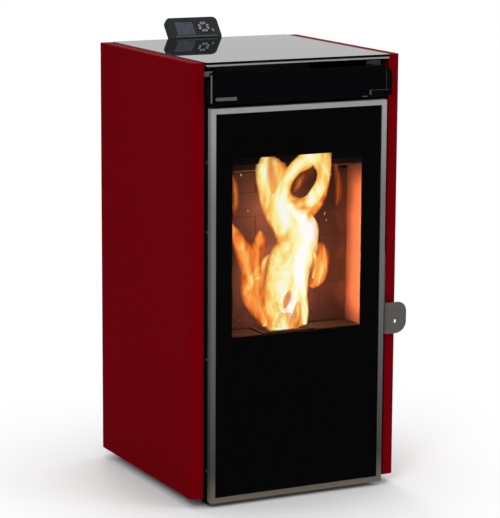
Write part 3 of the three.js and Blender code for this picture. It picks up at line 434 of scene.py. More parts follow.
rolled, given, result = new_group(
    "rolled_grain",
    {"Light": (0.5, 0.5, 0.5, 1.0), "Dark": (0.4, 0.4, 0.4, 1.0), "Smear size": 9.0, "Gloss": 0.4,
     "Fineness": 900.0}, SURFACE)
drawn = add(rolled, "ShaderNodeMapping", {"Vector": own_point(rolled), "Scale": (1.0, 1.0, 0.04)})
lines = add(rolled, "ShaderNodeTexNoise", {"Vector": drawn, "Scale": (given, "Fineness"), "Detail": 2.0})
smear = grain(rolled, Scale=(given, "Smear size"), Detail=4.0, Roughness=0.6)
rough = calc(rolled, "MULTIPLY", rescale(rolled, smear, 0.3, 0.7, 0.8, 1.25), (given, "Gloss"))
feed(rolled, result, {"Tone": mixed(rolled, smear, (given, "Dark"), (given, "Light")), "Roughness": rough,
                      "Height": lines})


def sheet_metal(name, light, dark, smear_size, gloss, fineness):
    values = {"Light": light, "Dark": dark, "Smear size": smear_size, "Gloss": gloss, "Fineness": fineness}
    return dress(name, rolled, values, 0.1, 0.0001, Metallic=0.45)


zinc_sheet = sheet_metal("zinc_sheet", (0.30, 0.31, 0.33), (0.20, 0.21, 0.23), 24.0, 0.45, 700.0)
stainless = sheet_metal("stainless", (0.20, 0.19, 0.18), (0.13, 0.125, 0.12), 90.0, 0.40, 1400.0)
repaint(zinc_sheet, "hopper", "auger_tube", "pellet_chute", "smoke_fan_housing", "room_fan_housing",
        "room_fan_wheel")
repaint(stainless, "auger_screw", "igniter", "smoke_fan_wheel")
eased(zinc_sheet, 0.0003, "latch_bracket", "latch_striker", "lid_hinge_left", "lid_hinge_right")
eased(stainless, 0.0004, "ash_drawer")


# -------------------- outlet bar
# A shallow pressed deflector in high-gloss black enamel, open behind, with two arms into the air
# duct. A moulded cap closes its right end, and small brackets and clips at the ends hold it.

black_enamel = painted("black_enamel", (0.0016, 0.0014, 0.0022), 0.15, 0.08, 300.0, 0.02,
                       Specular_IOR_Level=0.3)


def extent(node):
    """A solid's box as x0, x1, y0, y1, z0, z1 in the mm of place()."""
    low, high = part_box(node)
    return [(low.x - middle_x) * 1000, (high.x - middle_x) * 1000,
            (low.y - front_y) * 1000, (high.y - front_y) * 1000, low.z * 1000, high.z * 1000]


_, BAR_HALF, BAR_FRONT, _, BAR_LOW, BAR_HIGH = extent("outlet_bar")
BAR_BACK = BAR_FRONT + 15
CAP_START = 187.6


def outward(piece, doubles=0.0):
    """Turns all faces outward, after merging doubled vertices if there are any."""
    shape = bmesh.new()
    shape.from_mesh(piece.data)
    if doubles:
        bmesh.ops.remove_doubles(shape, verts=shape.verts, dist=doubles)
    bmesh.ops.recalc_face_normals(shape, faces=shape.faces)
    shape.to_mesh(piece.data)
    shape.free()
    return piece


def pressed_tray(name, outline, face, rear, wall):
    """A tray pressed out of sheet, open behind; the outline is of (x, z) points."""
    cx = sum(x for x, _ in outline) / len(outline)
    cz = sum(z for _, z in outline) / len(outline)
    reach_x = max(x for x, _ in outline) - cx
    reach_z = max(z for _, z in outline) - cz
    inner = [(cx + (x - cx) * (1 - wall / reach_x), cz + (z - cz) * (1 - wall / reach_z)) for x, z in outline]
    layers = ((face, outline), (rear, outline), (rear, inner), (face + wall, inner))
    return outward(capped(name, [place(x, y, z) for y, row in layers for x, z in row], 4))


def block(name, x0, x1, y0, y1, z0, z1, width):
    """A cut and deburred bar or plate."""
    corners = [place(x, y, z) for z in (z0, z1) for x, y in ((x0, y0), (x1, y0), (x1, y1), (x0, y1))]
    return round_edges(capped(name, corners), width)


def join_pieces(name, *pieces):
    """Welded or riveted pieces become one mesh."""
    whole = bmesh.new()
    for piece in pieces:
        whole.from_mesh(piece.data)
        bpy.data.objects.remove(piece)
    mesh = bpy.data.meshes.new(name)
    whole.to_mesh(mesh)
    whole.free()
    piece = bpy.data.objects.new(name, mesh)
    scene.collection.objects.link(piece)
    return piece


face = pressed_tray("bar_face", [(-BAR_HALF, BAR_LOW), (-BAR_HALF, BAR_HIGH), (CAP_START, BAR_HIGH),
                                 (CAP_START, BAR_LOW)], BAR_FRONT, BAR_BACK, 1.5)
round_edges(face, 0.0016, 4)
ARM_X, ARM_HALF = 179.6, 8.6
arms = [block("bar_arm", side * ARM_X - ARM_HALF, side * ARM_X + ARM_HALF, BAR_FRONT + 1.4, 60, BAR_HIGH - 19,
              BAR_HIGH - 1.6, 0.0006) for side in (-1, 1)]
pressing = join_pieces("outlet_bar_pressing", face, *arms)
finish_piece(pressing, black_enamel, "cabinet", "black_enamel", "outlet_bar")

cap_plastic = painted("bar_cap_plastic", (0.0012, 0.0018, 0.0026), 0.2, 0.25, 1400.0, 0.1)
outline = [(CAP_START + 0.5, BAR_LOW), (CAP_START + 0.5, BAR_HIGH)]
outline += list(reversed(arc(BAR_HALF - 8, BAR_HIGH - 16, 8, 0, 60, 5)))
outline += list(reversed(arc(BAR_HALF - 7, BAR_LOW + 7, 7, -80, -10, 5)))
cap = pressed_tray("outlet_bar_cap", outline, BAR_FRONT + 0.3, BAR_BACK, 2.0)
finish_piece(round_edges(cap, 0.0018, 3, 40), cap_plastic, "cabinet", "black_plastic")

brackets = [
    # The thin zinc plate on the bar's left end is a painted highlight on that end face.
    block("edge_left", -BAR_HALF - 0.5, -BAR_HALF + 0.3, BAR_FRONT + 0.8, BAR_FRONT + 6.5, BAR_LOW + 3,
          BAR_HIGH - 3, 0.0002),
    block("foot_left", -203, -184, 10, 12, 871, 882, 0.0005),
    block("foot_left_strut", -190.0, -187.0, 11, 28.1, 872, 875, 0.0004),
    block("foot_right", 170, 203, 26.1, 28.1, 864, 886, 0.0005)]
finish_piece(join_pieces("outlet_bar_brackets", *brackets), zinc_sheet, "cabinet", "zinc_sheet")

CLIP = ((150, -5.2), (195, -3.0), (195, 0.4), (150, 0.4))
# The two clips are the same part: the left one's bare stainless is a painted highlight and the right one's
# black enamel is painted shade.
for side, low, high, finish in ((-1, 827.0, 834.0, stainless), (1, 823.5, 832.4, black_enamel)):
    corners = [place(side * x, BAR_FRONT + y, z) for z in (low, high) for x, y in CLIP]
    clip = outward(capped("bar_clip_%s" % ("left" if side < 0 else "right"), corners))
    round_edges(clip, 0.0022, 5)
    finish_piece(clip, finish, "cabinet", "zinc_sheet" if side < 0 else "black_enamel")
# The stainless strips along the right clip's left and top edges are painted highlights on its edges.
right_end_strips = [block("clip_spring", 148.8, 150.4, BAR_FRONT - 4.9, BAR_FRONT + 0.4, 823.8, 832.6, 0.0005),
          block("clip_spring_top", 149.6, 192, BAR_FRONT - 2.9, BAR_FRONT + 0.4, 832.2, 832.7, 0.0002),
          block("edge_right", CAP_START - 0.05, CAP_START + 0.35, BAR_FRONT + 0.1, BAR_FRONT + 3,
                BAR_LOW + 14, BAR_HIGH - 3, 0.0002),
          block("clip_spring_hook", 133, 143, BAR_FRONT - 2.0, BAR_FRONT + 0.4, 819.9, 821.6, 0.0006)]
finish_piece(join_pieces("clip_spring", *right_end_strips), stainless, "cabinet", "stainless")


# -------------------- glass top
# A pane of black tempered glass with ground and polished edges. It is bonded to the lid tray and
# turns with it.

top_glass, tree, shader = new_shader("top_glass", (0.0016, 0.0014, 0.0018), 0.02, IOR=1.5)
ripple = grain(tree, Scale=6.0, Detail=1.0)
relief = add(tree, "ShaderNodeBump", {"Strength": 0.01, "Distance": 0.001, "Height": ripple})
feed(tree, shader, {"Normal": relief})
eased(top_glass, 0.0004, "top_plate")


# -------------------- door glass
# Clear ceramic glass over the whole door. A black border is printed on its back, and only the
# window is left clear.

def mottle(tree, shader, socket, scale, detail, *stops):
    """The socket's colour changes in fine patches between the stops."""
    feed(tree, shader, {socket: colour_ramp(tree, grain(tree, Scale=scale, Detail=detail), *stops)})


door_glass, tree, shader = new_shader("door_glass", (0.96, 0.94, 0.92), 0.0, IOR=1.42,
                                      Transmission_Weight=1.0)
mottle(tree, shader, "Base Color", 2.0, 1.0, (0.3, (0.95, 0.93, 0.90)), (0.7, (0.97, 0.96, 0.94)))
eased(door_glass, 0.0004, "door_glass")

print_black, tree, shader = new_shader("window_print", (0.0022, 0.0018, 0.0026), 0.35, Specular_IOR_Level=0.1)
rise = add(tree, "ShaderNodeSeparateXYZ", {0: own_point(tree)})
# The print lightens to a purplish grey towards the top. This is a painted reflection, and noise breaks up its
# edge.
lifted = calc(tree, "MULTIPLY_ADD", grain(tree, Scale=3.0, Detail=2.0), 0.35, (rise, "Z"))
print_mottle_and_painted_reflection = colour_ramp(tree, lifted, (0.15, (0.0004, 0.0004, 0.0008)), (0.45, (0.0022, 0.0010, 0.0022)),
                     (0.95, (0.0075, 0.0028, 0.0068)))
feed(tree, shader, {"Base Color": print_mottle_and_painted_reflection})


def wrapped(name, vertices, count, doubles=0.0):
    """A closed piece through rings of count vertices, where the last ring joins the first."""
    faces = []
    for first in range(0, len(vertices), count):
        faces += ring_faces(first, (first + count) % len(vertices), count)
    return outward(new_mesh_piece(name, vertices, faces), doubles)


def rectangle(x0, x1, z0, z1, y):
    """Its corners, in the door's plane."""
    return [place(x, y, z) for x, z in ((x0, z0), (x1, z0), (x1, z1), (x0, z1))]


WINDOW = (-147.9, 144.4, 345.7, 708.0)
left, right, _, back, low, high = extent("door_glass")
pane = (left + 0.5, right - 0.5, low + 0.5, high - 0.5)
front, rear = back + 0.04, back + 0.22
printed = wrapped("window_print", rectangle(*pane, front) + rectangle(*WINDOW, front)
                  + rectangle(*WINDOW, rear) + rectangle(*pane, rear), 4)
finish_piece(printed, print_black, "door", "door_glass")


# -------------------- latch lever
# A stainless lever, bent from one sheet round its vertical pin. The grip tab stands in front of
# the right-hand return and has a hole for a hook, so the hot door can be opened with a tool.

eased(stainless, 0.0004, "latch_lever", angle=25)


# -------------------- pipes and feet
# The flue collar and the air intake are rolled tubes with a bead near the rim, and the feet are
# moulded rubber pads on threaded studs.

def round_angles(count):
    return [2 * math.pi * step / count for step in range(count)]


def lathe(name, profile, centre, axis, steps):
    """A turned piece; profile is (radius, distance along the axis) in mm, closed on itself."""
    along = Vector(axis).normalized()
    one = along.orthogonal().normalized()
    two = along.cross(one)
    vertices = []
    for angle in round_angles(steps):
        out = one * math.cos(angle) + two * math.sin(angle)
        vertices += [centre + (out * r + along * h) / 1000 for r, h in profile]
    return wrapped(name, vertices, len(profile), 1e-7)


def tube_profile(radius, wall, start, end, bead):
    """A tube with a rolled stiffening bead near its free end."""
    out = [(radius - wall, start), (radius, start), (radius, bead - 3)]
    out += [(radius + 1.0 * math.sin(math.pi * i / 6), bead - 3 + i) for i in range(1, 6)]
    out += [(radius, bead + 3), (radius, end - 0.4), (radius - 0.4, end), (radius - wall, end)]
    return out


BEAD_FROM_RIM = 15
for node, radius, steps in (("flue_collar", 40, 64), ("air_intake_pipe", 25, 48)):
    low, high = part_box(node)
    start, end = (low.y - front_y) * 1000, (high.y - front_y) * 1000
    tube = lathe(node + "_tube", tube_profile(radius, 1.5, start, end, end - BEAD_FROM_RIM),
                 Vector(((low.x + high.x) / 2, front_y, (low.z + high.z) / 2)), (0, 1, 0), steps)
    finish_piece(tube, zinc_sheet, "cabinet", "zinc_sheet", node)

rubber = painted("rubber", (0.012, 0.012, 0.012), 0.3, 0.8, 900.0, 0.3, 0.0002)
PAD = [(0, 0), (16.6, 0), (17.7, 0.5), (18, 1.4), (16.4, 7.4), (15.6, 8), (6, 8.6), (4, 9.4)]
NUT_AND_STUD = [(4, 15.8), (7.2, 15.8), (8, 16.4), (8, 21.0), (7.2, 21.6), (4, 21.6), (4, 38), (3.4, 38.5),
                (0, 38.5)]
for node in ("foot_front_left", "foot_front_right", "foot_rear_left", "foot_rear_right"):
    low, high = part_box(node)
    centre = Vector(((low.x + high.x) / 2, (low.y + high.y) / 2, 0))
    pad = lathe(node + "_pad", PAD + NUT_AND_STUD, centre, (0, 0, 1), 48)
    finish_piece(pad, rubber, "cabinet", "rubber", node)


# -------------------- fire chamber
# The chamber is welded steel, browned by heat. Boards of vermiculite line its back and sides, a
# baffle closes the top, and a cast ledge carries the burn pot.

soot, given, result = new_group(
    "soot_and_ash",
    {"Clean": (0.3, 0.2, 0.2, 1.0), "Soot": (0.02, 0.018, 0.018, 1.0), "Ash": (0.4, 0.38, 0.36, 1.0),
     "Soot amount": 0.5, "Ash amount": 0.2, "Grain size": 300.0}, SURFACE)
blot = grain(soot, Scale=14.0, Detail=5.0, Roughness=0.65)
speck = grain(soot, Scale=(given, "Grain size"), Detail=4.0, Roughness=0.7)
blot_share = calc(soot, "MULTIPLY", rescale(soot, blot, 0.35, 0.7), (given, "Soot amount"))
speck_share = calc(soot, "MULTIPLY", rescale(soot, speck, 0.52, 0.7), (given, "Ash amount"))
sooted = mixed(soot, blot_share, (given, "Clean"), (given, "Soot"))
feed(soot, result, {"Tone": mixed(soot, speck_share, sooted, (given, "Ash")),
                    "Roughness": rescale(soot, speck, 0.3, 0.7, 0.75, 0.98), "Height": speck})


def heat_worn(name, clean, soot_amount, ash_amount, grain_size, bump, depth=0.0003, **plain):
    values = {"Clean": clean, "Soot amount": soot_amount, "Ash amount": ash_amount, "Grain size": grain_size}
    return dress(name, soot, values, bump, depth, **plain)


fire_steel = heat_worn("fire_steel", (0.035, 0.026, 0.022), 0.5, 0.1, 240.0, 0.2, Metallic=0.3)
cast_iron = heat_worn("cast_iron", (0.05, 0.042, 0.04), 0.4, 0.35, 420.0, 0.4, Specular_IOR_Level=0.2)
fire_brick = heat_worn("fire_brick", (0.13, 0.085, 0.080), 0.35, 0.10, 360.0, 0.25, Specular_IOR_Level=0.2)
repaint(fire_steel, "heat_exchanger", "smoke_duct")
eased(fire_steel, 0.0005, "combustion_chamber")
eased(cast_iron, 0.0006, "pot_support", "burn_pot")
eased(fire_brick, 0.0008, "flame_baffle", "refractory_back", "refractory_left", "refractory_right")


# -------------------- brickwork
# The back board is moulded as brickwork: courses of 100 by 50 mm stretchers, half a brick out of
# step from course to course, with hairline joints.

def new_tree(name, inputs):
    tree = bpy.data.node_groups.new(name, "GeometryNodeTree")
    tree.interface.new_socket("Geometry", in_out="OUTPUT", socket_type="NodeSocketGeometry")
    for label, kind in inputs.items():
        tree.interface.new_socket(label, in_out="INPUT", socket_type=kind)
    return tree, add(tree, "NodeGroupInput"), add(tree, "NodeGroupOutput")


def set_copies(tree, given, result, points, piece, rotation, scale):
    """The end of both trees: copies on the points, made real, with their material."""
    model = add(tree, "GeometryNodeObjectInfo", {"Object": (given, piece)})
    spread = add(tree, "GeometryNodeInstanceOnPoints",
                 {"Points": points, "Instance": (model, "Geometry"), "Rotation": rotation, "Scale": scale})
    real = add(tree, "GeometryNodeRealizeInstances", {"Geometry": spread})
    dressed = add(tree, "GeometryNodeSetMaterial", {"Geometry": real, "Material": (given, "Finish")})
    feed(tree, result, {"Geometry": dressed})


# Sets one piece on every point of a mesh, turned to the point's "facing" and stretched to its
# "span". Bricks, screws and sparks all use it.
POINT_FIELDS = (("facing", "FLOAT_VECTOR"), ("span", "FLOAT_VECTOR"), ("spin", "FLOAT"))
set_out, given, result = new_tree("set_out", {
    "Points": "NodeSocketGeometry", "Piece": "NodeSocketObject", "Finish": "NodeSocketMaterial"})
facing, span, spin = [
    (add(set_out, "GeometryNodeInputNamedAttribute", {"Name": label}, data_type=kind), "Attribute")
    for label, kind in POINT_FIELDS]
spun = add(set_out, "FunctionNodeAxisAngleToRotation", {"Axis": (0, 0, 1), "Angle": spin})
aligned = add(set_out, "FunctionNodeAlignRotationToVector", {"Rotation": spun, "Vector": facing}, axis="Z")
set_copies(set_out, given, result, (given, "Points"), "Piece", aligned, span)


def grown(piece, tree, inputs):
    """Runs a node tree on a piece, and keeps what it makes as a plain mesh."""
    maker = piece.modifiers.new(tree.name, "NODES")
    maker.node_group = tree
    for socket in tree.interface.items_tree:
        if socket.in_out == "INPUT" and socket.name in inputs:
            maker[socket.identifier] = inputs[socket.name]
    return settle(piece)


def set_points(name, rows, model, finish):
    """Rows of (point, facing, span, spin) become one mesh of copies of the model."""
    piece = new_mesh_piece(name, [row[0] for row in rows], [])
    for column, (label, kind) in enumerate(POINT_FIELDS, 1):
        data = piece.data.attributes.new(label, kind, "POINT").data
        for item, row in zip(data, rows):
            setattr(item, "value" if kind == "FLOAT" else "vector", row[column])
    return grown(piece, set_out, {"Piece": model, "Finish": finish})


def oblong(half_x, half_y):
    return [(-half_x, -half_y), (half_x, -half_y), (half_x, half_y), (-half_x, half_y)]


BRICK_LENGTH, BRICK_HEIGHT, JOINT, FIRST_COURSE, TOP_COURSE = 100.0, 50.0, 1.6, 323.0, 664.0
MODEL_LENGTH, MODEL_HEIGHT = 97.0, 47.0
CHUTE_HALF, CHUTE_LOW, CHUTE_HIGH = 30, 428, 484
_, _, wall_face, _, wall_bottom, _ = extent("refractory_back")
inner_x = extent("refractory_right")[0] - 0.5
brick = prism("brick", oblong(MODEL_LENGTH / 2000, MODEL_HEIGHT / 2000), -0.001, 0.0009)
round_edges(brick, 0.0006)
rows = []
for course in range(7):
    low = max(FIRST_COURSE + course * BRICK_HEIGHT, wall_bottom + 1)
    high = min(FIRST_COURSE + (course + 1) * BRICK_HEIGHT, TOP_COURSE)
    shift = 0 if course % 2 else BRICK_LENGTH / 2
    for column in range(-3, 4):
        left = max(column * BRICK_LENGTH - shift, -inner_x)
        right = min((column + 1) * BRICK_LENGTH - shift, inner_x)
        parts = [(left, right)]
        if high > CHUTE_LOW and low < CHUTE_HIGH:
            parts = [(left, min(right, -CHUTE_HALF)), (max(left, CHUTE_HALF), right)]
        for a, b in parts:
            if b - a > 12 and high - low > 10:
                rows.append((place((a + b) / 2, wall_face, (low + high) / 2), Vector((0, -1, 0)),
                             Vector(((b - a - JOINT) / MODEL_LENGTH, (high - low - JOINT) / MODEL_HEIGHT, 1)),
                             0.0))
bricks = set_points("brick_courses", rows, brick, fire_brick)
bpy.data.objects.remove(brick)
finish_piece(bricks, fire_brick, "cabinet", "fire_brick")


# -------------------- fuel in the burn pot
# Pressed wood pellets, 6 mm thick, on a bed of ash. They glow, lie loose in the cast pot and lift
# out with it.

ember, tree, shader = new_shader("glowing_pellets", (0.03, 0.02, 0.016), 0.95, Specular_IOR_Level=0.1,
                                 Emission_Strength=1.0)
mottle(tree, shader, "Emission Color", 90.0, 3.0, (0.35, (0.05, 0.004, 0.0)), (0.5, (0.9, 0.16, 0.02)),
       (0.62, (1.0, 0.55, 0.12)), (0.75, (1.0, 0.85, 0.45)))
mottle(tree, shader, "Base Color", 90.0, 3.0, (0.3, (0.012, 0.010, 0.009)), (0.6, (0.10, 0.06, 0.04)),
       (0.8, (0.30, 0.27, 0.25)))

# Drops copies of a pellet all over a surface, turned at random.
scatter, given, result = new_tree("scatter", {
    "Surface": "NodeSocketGeometry", "Pellet": "NodeSocketObject", "Finish": "NodeSocketMaterial",
    "Per square metre": "NodeSocketFloat", "Seed": "NodeSocketInt"})
seed = (given, "Seed")
drops = add(scatter, "GeometryNodeDistributePointsOnFaces",
            {"Mesh": (given, "Surface"), "Density": (given, "Per square metre"), "Seed": seed})
any_turn = add(scatter, "FunctionNodeRandomValue", {1: (0.7, 0.7, 6.283), "Seed": seed},
               data_type="FLOAT_VECTOR")
any_size = add(scatter, "FunctionNodeRandomValue", {2: 0.75, 3: 1.15, "Seed": seed}, data_type="FLOAT")
set_copies(scatter, given, result, drops, "Pellet", any_turn, (any_size, 1))

left, right, front, rear, _, _ = extent("burn_pot")
pot_x, pot_y = (left + right) / 2, (front + rear) / 2


def heap(name, half_x, half_y, bottom, top, columns=16, lines=8):
    """A low mound with an uneven top, closed below."""
    def point(i, j, z):
        return place(pot_x + half_x * (2 * i / columns - 1), pot_y + half_y * (2 * j / lines - 1), z)

    vertices, faces = [], []
    for j in range(lines + 1):
        for i in range(columns + 1):
            crown = math.sin(math.pi * i / columns) * math.sin(math.pi * j / lines)
            bump = 2.5 * noise.noise(Vector((i * 0.9, j * 0.9, 3.1)))
            vertices.append(point(i, j, top - 6 + 6 * max(crown, 0) ** 0.5 + bump))
    width, first = columns + 1, len(vertices)
    vertices += [point(i, j, bottom) for i, j in ((0, 0), (columns, 0), (columns, lines), (0, lines))]
    for a in range(first - width):
        if a % width < columns:
            faces.append((a, a + 1, a + width + 1, a + width))
    faces += [(first + 3, first + 2, first + 1, first),
              (first, first + 1, *range(columns, -1, -1)),
              (first + 1, first + 2, *range(first - 1, 0, -width)),
              (first + 2, first + 3, *range(first - width, first)),
              (first + 3, first, *range(0, first, width))]
    return new_mesh_piece(name, vertices, faces)


pellet = lathe("pellet", [(0, -7.5), (2.3, -7.5), (3.0, -6.6), (3.0, 6.4), (2.2, 7.3), (0, 7.3)],
               Vector(), (1, 0, 0), 10)
finish_piece(heap("ash_bed", 44, 15, 300, 331), ember, "pot", "cast_iron")
pellets = grown(heap("burning_pellets", 40, 13, 318, 332), scatter,
                {"Pellet": pellet, "Finish": ember, "Per square metre": 9000.0, "Seed": 4})
bpy.data.objects.remove(pellet)
finish_piece(pellets, ember, "pot", "cast_iron")


# -------------------- rope seal
# Braided glass-fibre rope, glued into the channel on the door's inner panel. Its strands cross
# and stand up where they do.

rope_seal = heat_worn("rope_seal", (0.11, 0.105, 0.10), 0.6, 0.15, 700.0, 0.5, 0.0005, Sheen_Weight=0.3)
ROPE, CORNER, PLAIT, STEP = 4.9, 9, 11, 3.2
left, right, front, rear, low, high = extent("door_gasket")
rope_y = (front + rear) / 2
left, right = left + ROPE + CORNER, right - ROPE - CORNER
low, high = low + ROPE + CORNER, high - ROPE - CORNER


def sideways(before, after):
    """The unit step in x and z that is square to the way from one path point to another."""
    run_x, run_z = after[0] - before[0], after[1] - before[1]
    size = math.hypot(run_x, run_z) or 1.0
    return run_z / size, -run_x / size


track = []
for cx, cz, start in ((right, high, 0), (left, high, 90), (left, low, 180), (right, low, 270)):
    track += arc(cx, cz, CORNER, start, start + 90, 8)
path, run = [], 0.0
for (ax, az), (bx, bz) in zip(track, track[1:] + track[:1]):
    length = math.hypot(bx - ax, bz - az)
    parts = max(1, round(length / STEP))
    path += [(ax + (bx - ax) * i / parts, az + (bz - az) * i / parts, run + length * i / parts)
             for i in range(parts)]
    run += length
plaits = round(run / PLAIT) * 2 * math.pi / run
vertices, around = [], 20
for index, (x, z, along) in enumerate(path):
    side_x, side_z = sideways(path[index - 1], path[(index + 1) % len(path)])
    for angle in round_angles(around):
        strand = max(abs(math.cos(2 * angle + plaits * along)), abs(math.cos(2 * angle - plaits * along)))
        radius = ROPE * (0.84 + 0.16 * strand)
        out = radius * math.cos(angle)
        vertices.append(place(x + out * side_x, rope_y + radius * math.sin(angle) * 1.1, z + out * side_z))
rope = wrapped("rope_seal_braid", vertices, around)
finish_piece(rope, rope_seal, "door", "rope_seal", "door_gasket", smooth=60)


# -------------------- controller
# A moulded black panel on a bent bracket, leaning back over the rear edge: a smoked display
# window, four keys round a post, a status lamp, and a rounded lip along the lower edge.

black_plastic = painted("black_plastic", (0.020, 0.024, 0.027), 0.2, 0.42, 1800.0, 0.15)
eased(black_plastic, 0.0014, "display_housing", segments=3)

screen_plastic, tree, shader = new_shader("screen_plastic", (0.058, 0.062, 0.076), 0.15)
mottle(tree, shader, "Base Color", 60.0, 2.0, (0.3, (0.050, 0.056, 0.070)), (0.7, (0.072, 0.078, 0.094)))
eased(screen_plastic, 0.0002, "display_screen")

key_plastic, tree, shader = new_shader("key_plastic", (0.05, 0.055, 0.06), 0.3)
wear_and_painted_light = grain(tree, Scale=300.0, Detail=2.0)
feed(tree, shader, {"Roughness": rescale(tree, wear_and_painted_light, 0.0, 1.0, 0.24, 0.38)})
eased(key_plastic, 0.0004, "key_right", "key_up", "key_left", "key_down")

mark_white, tree, shader = new_shader("mark_white", (0.30, 0.28, 0.28), 0.4)
mottle(tree, shader, "Base Color", 700.0, 2.0, (0.3, (0.20, 0.18, 0.185)), (0.7, (0.37, 0.35, 0.34)))
LEAN = math.radians(51)
DISPLAY_X, DISPLAY_Y, DISPLAY_Z = -5.5, 458, 901.4
KEYS_X, KEYS_Y = 24, 27
MARK_LOW, MARK_HIGH = 0.8, 1.05


def on_display(x, y, z):
    """A point on the controller: x and y in its face from the middle of its lower edge, z out of it."""
    return place(DISPLAY_X + x, DISPLAY_Y + y * math.cos(LEAN) - z * math.sin(LEAN),
                 DISPLAY_Z + y * math.sin(LEAN) + z * math.cos(LEAN))


def raised_spot(name, cx, cy, half_long, half_wide, lean, low, high, steps=14):
    """A flat oval or slug standing on the controller's face."""
    outline = []
    for angle in round_angles(steps):
        a, b = half_long * math.cos(angle), half_wide * math.sin(angle)
        outline.append((cx + a * math.cos(lean) - b * math.sin(lean),
                        cy + a * math.sin(lean) + b * math.cos(lean)))
    return capped(name, [on_display(x, y, z) for z in (low, high) for x, y in outline])


PETALS = ((-21, 10.4, 2.9, 2.3), (21, 10.4, 2.9, 2.3), (0, 6.6, 0.8, 1.7))
for body, quarter in (("button_right", 0), ("button_up", 1), ("button_left", 2), ("button_down", 3)):
    petals = []
    for offset, radius, half_long, half_wide in PETALS:
        angle = math.radians(quarter * 90 + offset)
        cx, cy = KEYS_X + radius * math.cos(angle), KEYS_Y + radius * math.sin(angle)
        petals.append(raised_spot("petal", cx, cy, half_long, half_wide, angle, MARK_LOW, MARK_HIGH))
    finish_piece(join_pieces(body + "_marks", *petals), mark_white, body, "key_plastic")
LAMP_X, LAMP_Y = 44, 18.5
lamp_lens = raised_spot("status_lamp", LAMP_X, LAMP_Y, 4.2, 1.6, math.radians(112), -0.2, 0.5, 18)
round_edges(lamp_lens, 0.0003)
finish_piece(lamp_lens, mark_white, "cabinet", "key_plastic")

lip_section = [(0.8, -0.3), (1.0, 0.9), (1.7, 1.6), (3.2, 1.8), (4.6, 1.5), (5.4, 0.7), (5.6, -0.3)]
lip = capped("controller_lip", [on_display(x, y, z) for x in (-49, 50) for y, z in lip_section])
# The lip's grey, lighter than the housing, is a painted highlight along the controller's lower edge.
lip_plastic = painted("lip_plastic", (0.060, 0.066, 0.072), 0.2, 0.40, 1800.0, 0.15)
finish_piece(outward(lip), lip_plastic, "cabinet", "black_plastic")


# -------------------- electrics
# The green board stands inside the cabinet. The mains inlet with its rocker switch and the reset
# button of the safety cut-out are black plastic and sit in the rear panel.

board_green, tree, shader = new_shader("board_green", (0.014, 0.068, 0.025), 0.35)
turned = add(tree, "ShaderNodeMapping", {"Vector": own_point(tree), "Rotation": (0, math.radians(90), 0)})
tracks = add(tree, "ShaderNodeTexBrick",
             {"Vector": turned, "Scale": 60.0, "Mortar Size": 0.03, "Color1": (0.014, 0.068, 0.025, 1),
              "Color2": (0.012, 0.058, 0.022, 1), "Mortar": (0.03, 0.10, 0.04, 1)})
feed(tree, shader, {"Base Color": tracks})
repaint(board_green, "control_board")
eased(black_plastic, 0.0005, "mains_inlet", "rocker_switch", "reset_button")


# -------------------- fixings
# Zinc-plated pan-head screws with a cross recess hold the rear panel, the front plate, the
# door's inner panel, the lid hinges and the controller's bracket.

head = lathe("screw_head", [(0, 2.3), (1.6, 2.2), (2.9, 1.7), (3.6, 0.9), (3.8, 0.0), (3.8, -0.3), (0, -0.3)],
             Vector(), (0, 0, 1), 24)
for reach_x, reach_y in ((0.0021, 0.00045), (0.00045, 0.0021)):
    combine(head, "DIFFERENCE", prism("recess", oblong(reach_x, reach_y), 0.0010, 0.0040))

dice = random.Random(11)
FORWARD, BACKWARD = (0, -1, 0), (0, 1, 0)
FRONT_PLATE_FACE, PANEL_FACE, HINGE_FACE, BRACKET_FACE = 26.0, -2.4, 450.0, 455.4
screws = {"cabinet": [], "door": []}
for side in (-1, 1):
    screws["cabinet"] += [(side * 214.5, DEPTH, z, BACKWARD, 1.0) for z in (60, 200, 340, 480, 620, 760, 872)]
    screws["cabinet"] += [(side * 189, FRONT_PLATE_FACE, z, FORWARD, 0.9) for z in (70, 300, 560, 700, 790)]
    screws["door"] += [(side * 185.5, PANEL_FACE, z, BACKWARD, 0.8) for z in (60, 160, 300, 460, 620, 760)]
    screws["cabinet"] += [(side * 119, HINGE_FACE, 871, FORWARD, 0.7),
                          (DISPLAY_X + side * 24, BRACKET_FACE, 852, BACKWARD, 0.9)]
screws["door"] += [(x, PANEL_FACE, z, BACKWARD, 0.8) for x in (-100, 0, 100) for z in (90, 756)]
for body, row in screws.items():
    rows = [(place(x, y, z), Vector(way), Vector((size, size, size)), dice.uniform(0, 3.1))
            for x, y, z, way, size in row]
    finish_piece(set_points("screws_" + body, rows, head, zinc_sheet), zinc_sheet, body, "zinc_sheet")
bpy.data.objects.remove(head)


# -------------------- fire
# Tongues of flame stand on the burning pellets: a white-yellow body that splits in two under
# the baffle, orange sheets beside it, and a few sparks. The draught leans them to the glass.

